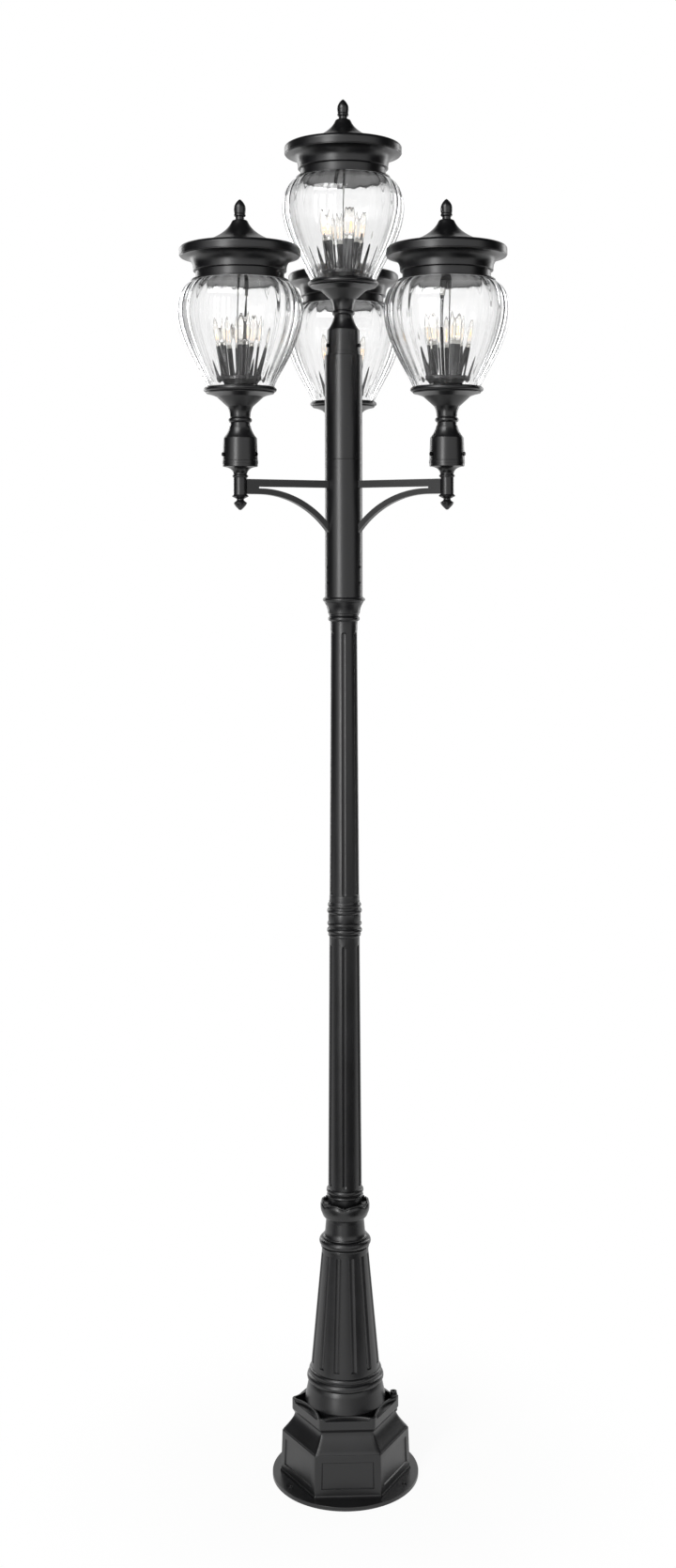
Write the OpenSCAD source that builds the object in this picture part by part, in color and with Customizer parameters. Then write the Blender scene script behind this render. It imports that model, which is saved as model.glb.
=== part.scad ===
// Outdoor post light: a cast post in sections on a six-sided base, with one
// glass lantern on the post head and three more on bracket arms around it.
// Millimetres, +Z up. The origin lies on the post's axis, at the underside of the base plate.

/* [Base plate] */
// Diameter of the round steel base plate
plate_d = 360; // [352:1:400]
// Thickness of the base plate
plate_t = 10; // [6:1:16]
// Diameter of the circle that the anchor holes lie on
anchor_circle_d = 320; // [306:1:336]
// Diameter of one anchor hole
anchor_hole_d = 11; // [8:0.5:13]
// Number of anchor holes
anchor_count = 3; // [3:1:6]
// How far the base plate and its cover are turned against the arms
base_turn = 2.3; // [-10:0.1:10]
// Diameter of the cable hole in the middle
cable_hole_d = 60; // [40:1:90]

/* [Six-sided base cover] */
// Width across the flats at the foot
hex_foot_w = 281; // [274:1:290]
// Width across the flats at the shoulder above the panels
hex_shoulder_w = 272; // [262:1:273]
// Width across the flats of the rim
hex_rim_w = 229; // [226:0.5:238]
// How far the groove under the rim is cut in
rim_groove = 5.5; // [3:0.5:7]
// Height of the panelled part
hex_panel_h = 100; // [80:1:130]
// Height of the hollow moulding above the panels
hex_cove_h = 42; // [36:1:60]
// Height of the rim at its corners
hex_rim_h = 36; // [34:1:48]
// How far each side of the rim is scooped in between its corners
scoop_depth = 13; // [8:0.5:14]
// How far the scoops go down from the top of the rim
scoop_h = 7; // [4:0.5:9]
// Width of the raised border round each panel
panel_border = 14; // [8:0.5:22]
// Depth of each panel
panel_depth = 2; // [1:0.25:3]
// Wall of the cover
hex_wall = 6; // [5:0.5:7]

/* [Pedestal] */
// Diameter of the pedestal's foot
drum_d = 199; // [196:0.5:204]
// Height of the plain drum above the foot
drum_h = 42; // [34:1:60]
// Height of the rounded rings above the drum
base_ring_h = 40; // [38:0.5:46]
// Diameter at the bottom of the fluted cone
cone_foot_d = 168.6; // [164:0.2:172]
// Diameter at the top of the fluted cone
cone_top_d = 115.4; // [110:0.2:120]
// Height of the fluted cone
cone_h = 281; // [220:1:340]
// Height of the rings above the cone
neck_ring_h = 52; // [48:0.5:56]
// Diameter of the neck above those rings
neck_d = 97; // [95:0.5:100]
// Height of the neck
neck_h = 24; // [16:1:36]
// Number of flutes round the cone
cone_flutes = 12; // [8:1:14]
// Width of one flute of the cone
cone_flute_w = 15; // [10:0.5:16]

/* [Petal collar] */
// Diameter of the collar
collar_d = 121.4; // [118:0.2:126]
// Height of the collar where two petals meet
collar_h = 45; // [40:0.5:52]
// How far each petal rises above that
petal_rise = 5.5; // [4:0.5:10]
// Number of petals
petals = 6; // [5:1:8]

/* [Shafts] */
// Height of the lower shaft from the neck to the middle ring
lower_h = 701; // [600:1:800]
// Height of the two foot rings of the lower shaft above the petals
foot_rings_h = 35.5; // [33:0.5:50]
// Diameter of the lower shaft above its foot rings
lower_foot_d = 82.8; // [81:0.2:85]
// Diameter of the lower shaft at its top
lower_top_d = 75; // [74:0.2:78]
// Height of the turned ring between the shafts
mid_h = 88; // [84:0.5:96]
// Height of the upper shaft
upper_h = 668; // [560:1:760]
// Diameter of the upper shaft at its foot
upper_foot_d = 73.2; // [71:0.2:75]
// Diameter of the upper shaft at its top
upper_top_d = 65.4; // [64:0.2:68]
// Number of flutes round each shaft
shaft_flutes = 6; // [4:1:8]
// Width of one flute of the shafts
shaft_flute_w = 13.5; // [10:0.5:14]
// Wall of the shafts at the top
shaft_wall = 5.4; // [5:0.2:6.4]

/* [Post head] */
// Height of the flared ring under the post head
top_collar_h = 85; // [80:0.5:92]
// Diameter of the post head
head_d = 92.8; // [92:0.2:96]
// Wall of the post head
head_wall = 5; // [3.5:0.25:6]
// Height of the lower tube of the head
head_tube_h = 338; // [320:1:400]
// Height of the upper tube of the head
top_tube_h = 258; // [250:1:320]
// Outside diameter of the lantern tenons
tenon_d = 76.2; // [74:0.2:77]
// Height of the lantern tenons
tenon_h = 55; // [40:1:58]

/* [Arms] */
// Distance from the post's axis to a side lantern's axis
arm_reach = 286; // [280:1:330]
// Height of the top of the arm bar above the foot of the head
arm_z = 285; // [250:1:300]
// Height of the arm bar
bar_h = 18; // [14:0.5:22]
// Width of the arm bar and its brace
bar_w = 16; // [13:0.5:22]
// Thickness of the arched brace
brace_t = 14; // [10:0.5:16]
// Radius of the outer edge of the arched brace
brace_r = 255; // [245:1:275]
// Diameter of the upright at the end of an arm
upright_d = 32.4; // [30:0.2:34]
// Height of the pointed drop under an upright
drop_h = 37; // [30:0.5:46]
// Diameter of the cup plate under a side lantern
cup_d = 84; // [82:0.5:88]
// Height of the cup's rim above the arm bar
cup_rise = 36; // [30:0.5:44]

/* [Lantern fitter and dish] */
// Diameter of the fitter at its mouth
fitter_d = 85.7; // [84:0.1:90]
// Height of the fitter
fitter_h = 91; // [84:0.5:100]
// Diameter of the dish that carries the glass
dish_d = 175.2; // [172:0.2:180]
// Height of the dish with its bead
dish_h = 92; // [84:0.5:104]
// Diameter of the bead under the dish
dish_bead_d = 56.6; // [53:0.2:60]

/* [Glass] */
// Diameter of the glass at its belly
belly_d = 303; // [280:1:304]
// Diameter of the glass at its foot
glass_foot_d = 158; // [152:0.5:160]
// Diameter of the glass at its mouth
mouth_d = 226; // [222:0.5:228]
// Height of the glass
glass_h = 258; // [230:1:280]
// Wall of the glass
glass_wall = 3.5; // [2.5:0.25:4.5]

/* [Lantern cap] */
// Diameter of the brim
brim_d = 290.6; // [270:0.2:292]
// Thickness of the brim with its rounded upper edge
brim_t = 25.5; // [22:0.5:30]
// Height from the glass to the brim
cap_neck_h = 59; // [54:0.5:68]
// Height of the concave roof above the brim
roof_h = 63.5; // [54:0.5:86]
// Wall of the spun cap
cap_wall = 2.5; // [2:0.25:3]
// Height of the boss under the cap that the rod passes through
boss_h = 18; // [12:0.5:24]
// Diameter of the finial
finial_d = 28.2; // [24:0.2:30]
// Height of the finial
finial_h = 49; // [46:0.5:58]

/* [Candles and bulbs] */
// Diameter of the circle that the candles stand on
candle_circle_d = 88; // [82:0.5:90]
// Number of candles in each lantern
candles_per_lantern = 4; // [3:1:4]
// Outside diameter of a candle sleeve
sleeve_d = 25; // [24:0.25:27]
// Height of a candle sleeve
sleeve_h = 74; // [60:1:90]
// Diameter of a bulb
bulb_d = 35; // [28:0.5:37]
// Height of a bulb above its lampholder
bulb_h = 71; // [55:1:80]
// Diameter of the rod that holds the lantern together
rod_d = 8; // [6:0.5:9]

/* [Fits] */
// Clearance between parts that slide or turn on each other
clearance = 0.3; // [0.2:0.05:0.4]

/* [Hidden] */
$fn = 96;

HEADS = ["top", "left", "right", "back"];
LANTERN_PIECES = ["fitter", "set_screws", "dish", "cluster", "candles", "sockets", "bulbs",
    "rod", "glass", "cap", "finial"];
POST_PIECES = ["base_plate", "hex_base", "pedestal", "petal_collar", "lower_shaft", "mid_ring",
    "upper_shaft", "top_collar", "head_tube", "top_tube", "left_arm", "right_arm", "back_arm",
    "drop_finials", "post_screws", "supply_wires"];

powder_black = "#2c2c2e";
steel = "#b9bcc0";
clear_glass = [0.86, 0.9, 0.92, 0.35];
copper_red = "#6d2f26";

// Heights up the post, from the ground
z_panel_top = plate_t + hex_panel_h;
z_groove = z_panel_top + hex_cove_h;
z_seat = z_groove + hex_rim_h;
z_neck_top = z_seat + drum_h + base_ring_h + cone_h + neck_ring_h + neck_h;
z_mid = z_neck_top + lower_h;
z_upper = z_mid + mid_h;
z_top_collar = z_upper + upper_h;
z_head = z_top_collar + top_collar_h;
z_joint = z_head + head_tube_h;
z_top_lantern = z_joint + top_tube_h;
z_bar_top = z_head + arm_z;
z_side_lantern = z_bar_top + cup_rise;

// Directions of the arms, the front lying at -90 degrees
arm_turns = [210, -30, 90];

// Post
spigot_h = 40;
lower_bore_r = lower_top_d / 2 - shaft_wall;
upper_bore_r = upper_top_d / 2 - shaft_wall;
head_r = head_d / 2;
head_bore_r = head_r - head_wall;
tenon_r = tenon_d / 2;
tenon_bore_r = tenon_r - head_wall;
foot_spigot_r = lower_foot_d / 2 - 4;
ring_bore_r = upper_bore_r - 6;
cone_flute_r = 10;
shaft_flute_r = 8.5;
seat_ring_r = drum_d / 2 - 2.5;
seat_ring_t = 13;
shelf_t = 12;
shelf_z = z_groove - shelf_t / 2;

// Grub screws of the post head, in rings of three between the arms' directions and the front
screws_per_ring = 3;
grub_d = 6;
grub_proud = 0.8;
grub_spacing = 39;
grub_rise = 33;
head_spigot_h = grub_rise + grub_spacing + 10;

// Wires
trunk_r = 5;
wire_r = 3.2;
wire_bore_r = wire_r + clearance;

// Heights up a lantern, from the foot of its fitter
z_dish = fitter_h;
z_dish_rim = fitter_h + dish_h;
rim_lip_h = 5;
z_glass = z_dish_rim - rim_lip_h;
z_glass_top = z_glass + glass_h;
z_cap = z_glass_top + clearance;
z_brim = z_cap + cap_neck_h;
z_roof = z_brim + brim_t;
z_finial = z_roof + roof_h;
// The glass leans out from its foot by this much over this height
glass_foot_flare = 16;
glass_foot_rise = 0.17 * glass_h;
cluster_h = 29;
z_candle = z_glass + cluster_h;
z_holder = z_candle + sleeve_h;
collar_of_holder_h = 8;
z_bulb = z_holder + collar_of_holder_h;
holder_bore_r = 8;
bulb_neck_r = holder_bore_r - clearance;
rod_r = rod_d / 2;
rod_hole_r = rod_r + clearance;
candle_turn = 21;
z_boss = z_cap - boss_h;
coupling_h = 16;

// Points along an arc
function arc(centre, r, from, to, n = 10) =
    [for (i = [0:n]) let (a = from + (to - from) * i / n) centre + r * [cos(a), sin(a)]];

// Points along a cubic curve
function curve(a, b, c, d, n = 12) =
    [for (i = [0:n]) let (t = i / n, s = 1 - t)
        s * s * s * a + 3 * s * s * t * b + 3 * s * t * t * c + t * t * t * d];

function reversed(p) = [for (i = [len(p) - 1:-1:0]) p[i]];

// A turned piece: side is its outside from foot to top, bore its inside from foot to top
module turned(side, bore) {
    rotate_extrude() polygon(concat(side, reversed(bore)));
}

module round_bar(r, z0, z1) {
    translate([0, 0, z0]) cylinder(r = r, h = z1 - z0);
}

module around(count, first = 0) {
    for (i = [0:count - 1]) rotate([0, 0, first + 360 * i / count]) children();
}

// Base plate

module base_plate() {
    color(powder_black) difference() {
        cylinder(d = plate_d, h = plate_t);
        translate([0, 0, -1]) cylinder(d = cable_hole_d, h = plate_t + 2);
        around(anchor_count, arm_turns[1] + base_turn) translate([anchor_circle_d / 2, 0, -1])
            cylinder(d = anchor_hole_d, h = plate_t + 2);
    }
}

// Six-sided base cover

// A solid with three pairs of opposite faces that follow the outline of half width and height
module six_sided(outline) {
    mirrored = [for (q = reversed(outline)) [-q[0], q[1]]];
    intersection_for (turn = [0, 60, 120])
        rotate([0, 0, turn]) rotate([90, 0, 90])
            linear_extrude(height = 2 * plate_d, center = true) polygon(concat(outline, mirrored));
}

function six_sided_wall(half_w, z0, z1) = [[half_w, z0], [half_w, z1]];

hex_groove_w = hex_rim_w - 2 * rim_groove;
shoulder_step = 2;
rim_round = 11;

cove_r = hex_shoulder_w / 2 - shoulder_step;

hex_outline = concat(
    [[hex_foot_w / 2, plate_t], [hex_shoulder_w / 2, z_panel_top], [cove_r, z_panel_top]],
    curve([cove_r, z_panel_top + 1], [hex_groove_w / 2 + 11, z_panel_top + 18],
        [hex_groove_w / 2, z_groove - 9], [hex_groove_w / 2, z_groove]),
    [[hex_rim_w / 2, z_groove + rim_round], [hex_rim_w / 2, z_seat]]);

scoop_end = 9;
scoop_half_w = hex_rim_w / 2 * tan(30) - scoop_end;
scoop_r = (pow(scoop_half_w, 2) + pow(scoop_depth, 2)) / (2 * scoop_depth);
scoop_x = hex_rim_w / 2 - scoop_depth + scoop_r;

// Six round bars that bite into the sides of the rim
module at_scoops(r, z0, z1) {
    around(6, 90) translate([scoop_x, 0, 0]) round_bar(r, z0, z1);
}

// The lug in one corner, and its screw
lug_d = 19;
lug_x = hex_rim_w / 2 / cos(30) - 13;
lug_h = 5;
lug_screw_d = 8;
lug_screw_h = 14;
lug_head_d = 16.5;
lug_head_h = 6;

module hex_base() {
    panel_tilt = atan((hex_foot_w - hex_shoulder_w) / 2 / hex_panel_h);
    panel_w = hex_shoulder_w * tan(30) - 2 * panel_border;
    panel_r = (hex_foot_w + hex_shoulder_w) / 4;
    rim_in_w = hex_rim_w / 2 - hex_wall;
    lip_t = 5;
    color(powder_black) rotate([0, 0, base_turn]) difference() {
        union() {
            difference() {
                six_sided(hex_outline);
                around(6, 90) translate([panel_r, 0, plate_t + hex_panel_h / 2]) rotate([0, -panel_tilt, 0])
                    cube([2 * panel_depth, panel_w, hex_panel_h - 2 * panel_border], center = true);
                at_scoops(scoop_r, z_seat - scoop_h, z_seat + 1);
                // Pockets in the corners, between the rim, its lips and the seat ring
                difference() {
                    six_sided(six_sided_wall(rim_in_w, shelf_z + shelf_t, z_seat + 1));
                    round_bar(seat_ring_r, 0, z_seat + 2);
                    at_scoops(scoop_r + lip_t, 0, z_seat + 2);
                }
            }
            translate([lug_x, 0, shelf_z]) cylinder(d = lug_d, h = z_seat + lug_h - shelf_z);
        }
        round_bar(seat_ring_r - seat_ring_t, 0, z_seat + 1);
        six_sided(six_sided_wall(hex_shoulder_w / 2 - hex_wall - panel_depth, 0, z_panel_top - hex_wall - 2));
        round_bar(seat_ring_r - 1, plate_t, shelf_z);
        translate([lug_x, 0, z_seat + lug_h - lug_screw_h])
            cylinder(d = lug_screw_d + 2 * clearance, h = lug_screw_h + 1);
    }
}

// Pedestal

pedestal_wall = 7;
z_rings = z_seat + drum_h;
z_cone = z_rings + base_ring_h;
z_cone_top = z_cone + cone_h;
z_neck = z_cone_top + neck_ring_h;
cone_lean = atan((cone_foot_d - cone_top_d) / 2 / cone_h);

module pedestal() {
    foot_r = drum_d / 2;
    drum_top_r = foot_r - 8;
    side = concat(
        curve([foot_r, z_seat], [foot_r - 1.5, z_seat + 12], [foot_r - 5, z_seat + 26],
            [drum_top_r, z_rings - 1]),
        arc([drum_top_r - 7, z_rings + 14], 10, -65, 70, 12),
        arc([cone_foot_d / 2 - 2, z_cone - 10], 7, -40, 75, 10),
        [[cone_foot_d / 2, z_cone], [cone_top_d / 2, z_cone_top], [cone_top_d / 2, z_cone_top + 7]],
        arc([cone_top_d / 2 - 0.8, z_cone_top + 12.5], 2.6, -80, 80, 8),
        arc([cone_top_d / 2 - 4, z_cone_top + 25.5], 10, -62, 66, 12),
        [[neck_d / 2 + 7.5, z_neck - 17]],
        arc([neck_d / 2 + 4.7, z_neck - 14.4], 2.4, -70, 75, 8),
        curve([neck_d / 2 + 4.9, z_neck - 11.8], [neck_d / 2 + 2.1, z_neck - 9],
            [neck_d / 2 + 0.7, z_neck - 4], [neck_d / 2 + 0.4, z_neck + 3], 8),
        [[neck_d / 2 - 1.5, z_neck_top]]);
    bore = [[foot_r - 1.5 * pedestal_wall, z_seat], [drum_top_r - 1.5 * pedestal_wall, z_rings],
        [cone_foot_d / 2 - pedestal_wall, z_cone], [cone_top_d / 2 - pedestal_wall, z_cone_top],
        [foot_spigot_r + clearance, z_neck - 10], [foot_spigot_r + clearance, z_neck_top]];
    color(powder_black) difference() {
        turned(side, bore);
        around(cone_flutes, 180 / cone_flutes)
            flute(cone_foot_d / 2, z_cone + 11, cone_top_d / 2, z_cone_top - 2, cone_flute_w, cone_flute_r,
                false);
    }
}

// A cutter for one flute from the radius and height of its lower end to those of its upper end
module flute(r0, z0, r1, z1, w, cut_r, round_ends) {
    out = sqrt(pow(cut_r, 2) - pow(w / 2, 2));
    lean = atan2(r0 - r1, z1 - z0);
    run = norm([r0 - r1, z1 - z0]);
    translate([r0 + out, 0, z0]) rotate([0, -lean, 0]) {
        translate([0, 0, round_ends ? w / 2 : 0]) cylinder(r = cut_r, h = run - (round_ends ? w : 0));
        if (round_ends) for (z = [w / 2, run - w / 2]) translate([0, 0, z]) sphere(r = cut_r);
    }
}

// Petal collar

module petal_collar() {
    crown_flat = 0.4;
    r = collar_d / 2;
    wall = 6;
    floor_h = collar_h - 11;
    lip_r = r - 3.2;
    z_cusp = z_neck_top + collar_h;
    z_crown = z_cusp + petal_rise;
    half_petal = r * sin(180 / petals);
    petal_r = (pow(half_petal, 2) + pow(petal_rise, 2)) / (2 * petal_rise);
    petal_sweep = asin(half_petal / petal_r);
    // The valley between two petals, seen from outside
    valley = concat(
        arc([-half_petal, z_crown - petal_r], petal_r, 90, 90 - petal_sweep, 9),
        arc([half_petal, z_crown - petal_r], petal_r, 90 + petal_sweep, 90, 9),
        [[half_petal, z_crown + 1], [-half_petal, z_crown + 1]]);
    side = concat([[neck_d / 2 - 1.5, z_neck_top]],
        curve([neck_d / 2 - 1.6, z_neck_top + 7], [neck_d / 2 + 3, z_neck_top + 8],
        [r - 5.3, z_neck_top + 11.5], [r - 3.5, z_neck_top + 19]),
        [[r, z_neck_top + 26], [r, z_cusp - 4], [lip_r, z_crown - crown_flat]]);
    bore = [[lower_foot_d / 2 + clearance, z_neck_top], [lower_foot_d / 2 + clearance, z_neck_top + floor_h],
        [r - wall, z_neck_top + floor_h + 4], [r - wall, z_crown - crown_flat]];
    color(powder_black) difference() {
        turned(side, bore);
        around(petals, -90) translate([0.7 * r, 0, 0]) rotate([90, 0, 90])
            linear_extrude(height = 0.4 * r) polygon(valley);
    }
}

// Shafts and the ring between them

module lower_shaft() {
    foot_r = lower_foot_d / 2;
    top_r = lower_top_d / 2;
    z_rings_top = z_neck_top + collar_h + petal_rise + foot_rings_h;
    side = concat(
        [[foot_spigot_r, z_neck_top - spigot_h], [foot_spigot_r, z_neck_top], [foot_r, z_neck_top]],
        arc([foot_r, z_rings_top - 24], 4, -90, 80, 8),
        arc([foot_r - 2.6, z_rings_top - 11.5], 7, -50, 70, 10),
        [[foot_r, z_rings_top], [top_r, z_mid]]);
    bore = [[lower_bore_r, z_neck_top - spigot_h], [lower_bore_r, z_mid]];
    color(powder_black) difference() {
        turned(side, bore);
        around(shaft_flutes, 180 / shaft_flutes)
            flute(foot_r, z_rings_top, top_r, z_mid - 18, shaft_flute_w, shaft_flute_r, true);
    }
}

module mid_ring() {
    low_r = lower_top_d / 2;
    top_r = upper_foot_d / 2;
    side = concat(
        [[lower_bore_r - clearance, z_mid - spigot_h], [lower_bore_r - clearance, z_mid], [low_r, z_mid]],
        arc([low_r - 0.8, z_mid + 4.5], 4, -60, 60, 6),
        arc([low_r - 1, z_mid + 15.5], 7, -70, 70, 10),
        arc([low_r + 0.2, z_mid + 32], 5, -70, 70, 10),
        [[low_r + 2.5, z_mid + 40], [low_r + 2.8, z_upper - 36]],
        arc([low_r - 0.8, z_upper - 24.5], 6.5, -65, 65, 10),
        arc([low_r - 1, z_upper - 10], 5, -60, 60, 8),
        [[top_r + 1.5, z_upper - 3.5], [top_r + 1.5, z_upper], [upper_bore_r - clearance, z_upper],
            [upper_bore_r - clearance, z_upper + spigot_h]]);
    bore = [[ring_bore_r, z_mid - spigot_h], [ring_bore_r, z_upper + spigot_h]];
    color(powder_black) turned(side, bore);
}

module upper_shaft() {
    foot_r = upper_foot_d / 2;
    top_r = upper_top_d / 2;
    side = [[foot_r + 0.6, z_upper], [foot_r + 0.6, z_upper + 12], [foot_r, z_upper + 14],
        [top_r, z_top_collar]];
    bore = [[upper_bore_r, z_upper], [upper_bore_r, z_top_collar]];
    color(powder_black) difference() {
        turned(side, bore);
        around(shaft_flutes, 180 / shaft_flutes)
            flute(foot_r, z_upper + 12, top_r, z_top_collar - 3, shaft_flute_w, shaft_flute_r, true);
    }
}

// Post head

module top_collar() {
    r0 = upper_top_d / 2;
    side = concat(
        [[upper_bore_r - clearance, z_top_collar - spigot_h], [upper_bore_r - clearance, z_top_collar],
            [r0 + 0.7, z_top_collar], [r0 + 0.7, z_top_collar + 14]],
        arc([r0 + 0.5, z_top_collar + 29], 6, -80, 75, 10),
        [[r0 + 4.6, z_top_collar + 38], [r0 + 4.6, z_top_collar + 41], [r0 + 6.8, z_top_collar + 43]],
        curve([r0 + 6.9, z_top_collar + 44], [r0 + 8.5, z_head - 27], [r0 + 12, z_head - 21],
            [head_r + 2, z_head - 15], 8),
        arc([head_r + 1.7, z_head - 8.5], 4.5, -85, 80, 8),
        [[head_r + 0.4, z_head - 2], [head_r + 0.4, z_head], [head_bore_r - clearance, z_head],
            [head_bore_r - clearance, z_head + head_spigot_h]]);
    bore = [[ring_bore_r, z_top_collar - spigot_h], [ring_bore_r, z_top_collar + 40],
        [head_bore_r - 8, z_head], [head_bore_r - 8, z_head + head_spigot_h]];
    color(powder_black) difference() {
        turned(side, bore);
        post_screw_holes();
    }
}

module post_screw_places() {
    for (z = [grub_rise, grub_rise + grub_spacing])
        around(screws_per_ring, arm_turns[1]) translate([0, 0, z_head + z]) rotate([0, 90, 0]) children();
}

module post_screw_holes() {
    post_screw_places() cylinder(d = grub_d + 2 * clearance, h = head_d);
}

module head_tube() {
    color(powder_black) difference() {
        round_bar(head_r, z_head, z_joint);
        round_bar(head_bore_r, z_head - 1, z_joint + 1);
        post_screw_holes();
        for (turn = arm_turns) rotate([0, 0, turn]) translate([0, 0, wire_z]) rotate([0, 90, 0])
            cylinder(r = wire_bore_r, h = head_d);
    }
}

module top_tube() {
    side = [[head_bore_r - clearance, z_joint - spigot_h], [head_bore_r - clearance, z_joint],
        [head_r, z_joint], [head_r, z_top_lantern], [tenon_r, z_top_lantern],
        [tenon_r, z_top_lantern + tenon_h]];
    bore = [[tenon_bore_r, z_joint - spigot_h], [tenon_bore_r, z_top_lantern + tenon_h]];
    color(powder_black) turned(side, bore);
}

// Grub screws of the post head and the screw of the cover's lug
module post_screws() {
    color(steel) {
        post_screw_places() translate([0, 0, head_bore_r - 8]) difference() {
            cylinder(d = grub_d, h = head_wall + 8 + grub_proud);
            translate([0, 0, head_wall + 8 + grub_proud - 3]) cylinder(d = grub_d / 2, h = 4, $fn = 6);
        }
        rotate([0, 0, base_turn]) translate([lug_x, 0, z_seat + lug_h - lug_screw_h]) {
            cylinder(d = lug_screw_d, h = lug_screw_h);
            translate([0, 0, lug_screw_h]) difference() {
                cylinder(d = lug_head_d, h = lug_head_h);
                translate([0, 0, lug_head_h / 2]) cylinder(d = lug_screw_d, h = lug_head_h, $fn = 6);
            }
        }
    }
}

// Arms

wire_z = z_bar_top - bar_h / 2;
upright_r = upright_d / 2;
web_h = 4;
upright_low = bar_h + web_h + brace_t + 2;
brace_flat = 51;
drop_stud_r = 5;
drop_stud_h = 12;

// The upright at the end of an arm with its cup and tenon, turned about the side lantern's axis
module upright() {
    z_low = z_bar_top - upright_low;
    side = concat(
        [[upright_r, z_low], [upright_r, z_bar_top + 4]],
        arc([upright_r, z_bar_top + 6.5], 3, -80, 80, 8),
        curve([upright_r, z_bar_top + 10], [upright_r + 0.6, z_side_lantern - 16],
            [upright_r + 7.5, z_side_lantern - 8.5], [cup_d / 2 - 1, z_side_lantern - 7]),
        [[cup_d / 2, z_side_lantern - 6], [cup_d / 2, z_side_lantern], [tenon_r, z_side_lantern],
            [tenon_r, z_side_lantern + tenon_h]]);
    bore = [[0, z_low], [0, wire_z - 6], [wire_bore_r + 3, wire_z - 6], [wire_bore_r + 3, z_side_lantern - 6],
        [tenon_bore_r, z_side_lantern + 6], [tenon_bore_r, z_side_lantern + tenon_h]];
    turned(side, bore);
}

// One arm along +X, from the post head to the side lantern's axis
module arm() {
    brace_top = z_bar_top - bar_h - web_h;
    brace_x = arm_reach - brace_flat;
    color(powder_black) difference() {
        union() {
            translate([arm_reach, 0, 0]) upright();
            translate([0, -bar_w / 2, z_bar_top - bar_h]) cube([arm_reach - upright_r / 2, bar_w, bar_h]);
            rotate([90, 0, 0]) linear_extrude(height = bar_w, center = true) {
                intersection() {
                    difference() {
                        translate([brace_x, brace_top - brace_r]) circle(r = brace_r);
                        translate([brace_x, brace_top - brace_r]) circle(r = brace_r - brace_t);
                    }
                    translate([0, brace_top - brace_r]) square([brace_x, brace_r + 1]);
                }
                translate([brace_x, brace_top - brace_t])
                    square([arm_reach - upright_r / 2 - brace_x, brace_t + web_h + 1]);
            }
        }
        round_bar(head_r + clearance, z_head, z_top_lantern);
        translate([head_r - 1, 0, wire_z]) rotate([0, 90, 0])
            cylinder(r = wire_bore_r, h = arm_reach - head_r + 1);
        translate([arm_reach, 0, z_bar_top - upright_low - 1])
            cylinder(r = drop_stud_r + clearance, h = drop_stud_h + 1);
    }
}

module left_arm() { rotate([0, 0, arm_turns[0]]) arm(); }

module right_arm() { rotate([0, 0, arm_turns[1]]) arm(); }

module back_arm() { rotate([0, 0, arm_turns[2]]) arm(); }

// The pointed drops screwed into the uprights from below
module drop_finials() {
    z = z_bar_top - upright_low;
    z_tip = z - drop_h;
    waist_r = 8;
    side = concat(
        [[0, z_tip], [0.2 * upright_r, z_tip + 0.03 * drop_h]],
        curve([0.22 * upright_r, z_tip + 0.04 * drop_h], [0.56 * upright_r, z_tip + 0.19 * drop_h],
            [upright_r - 2, z_tip + 0.3 * drop_h], [upright_r, z_tip + 0.46 * drop_h], 8),
        [[upright_r - 1, z_tip + 0.51 * drop_h]],
        curve([upright_r - 3, z_tip + 0.54 * drop_h], [waist_r + 1, z_tip + 0.62 * drop_h],
            [waist_r, z_tip + 0.67 * drop_h], [waist_r + 1, z_tip + 0.73 * drop_h], 6),
        [[upright_r + 3.5, z - 4.5], [upright_r + 4, z - 3.5], [upright_r + 1, z], [drop_stud_r, z],
            [drop_stud_r, z + drop_stud_h - 1], [0, z + drop_stud_h - 1]]);
    color(powder_black) for (turn = arm_turns)
        rotate([0, 0, turn]) translate([arm_reach, 0, 0]) rotate_extrude() polygon(side);
}

// Supply wires from the foot of the post to the four lantern tenons
module supply_wires() {
    color(copper_red) {
        round_bar(trunk_r, z_seat, z_top_lantern + tenon_h - 5);
        for (turn = arm_turns) rotate([0, 0, turn]) {
            translate([0, 0, wire_z]) rotate([0, 90, 0]) cylinder(r = wire_r, h = arm_reach);
            translate([arm_reach, 0, wire_z]) sphere(r = wire_r);
            translate([arm_reach, 0, 0]) round_bar(wire_r, wire_z, z_side_lantern + tenon_h - 5);
        }
    }
}

// Lantern pieces, each at the lantern's own foot

fitter_screw_z = 22;
fitter_screw_d = 6;
dish_spigot_r = 15;
dish_neck_r = 24.5;
dish_wall = 3;
finial_rod_h = 24;

module fitter() {
    mouth_r = fitter_d / 2;
    shoulder_r = mouth_r - 2.6;
    top_r = dish_bead_d / 2 - 3;
    side = concat(
        [[mouth_r, clearance], [mouth_r, 7], [mouth_r - 0.8, 8]],
        [[shoulder_r, fitter_h - 30]],
        curve([shoulder_r - 1, fitter_h - 28.5], [shoulder_r - 8, fitter_h - 21], [top_r + 1, fitter_h - 8],
            [top_r, fitter_h]));
    bore = [[tenon_r + clearance, clearance], [tenon_r + clearance, tenon_h + 1], [30, tenon_h + 4],
        [dish_spigot_r + clearance, fitter_h - 20], [dish_spigot_r + clearance, fitter_h]];
    color(powder_black) difference() {
        turned(side, bore);
        fitter_screw_places() cylinder(d = fitter_screw_d + 2 * clearance, h = fitter_d);
    }
}

module fitter_screw_places() {
    around(screws_per_ring, arm_turns[1]) translate([0, 0, fitter_screw_z]) rotate([0, 90, 0]) children();
}

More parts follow.
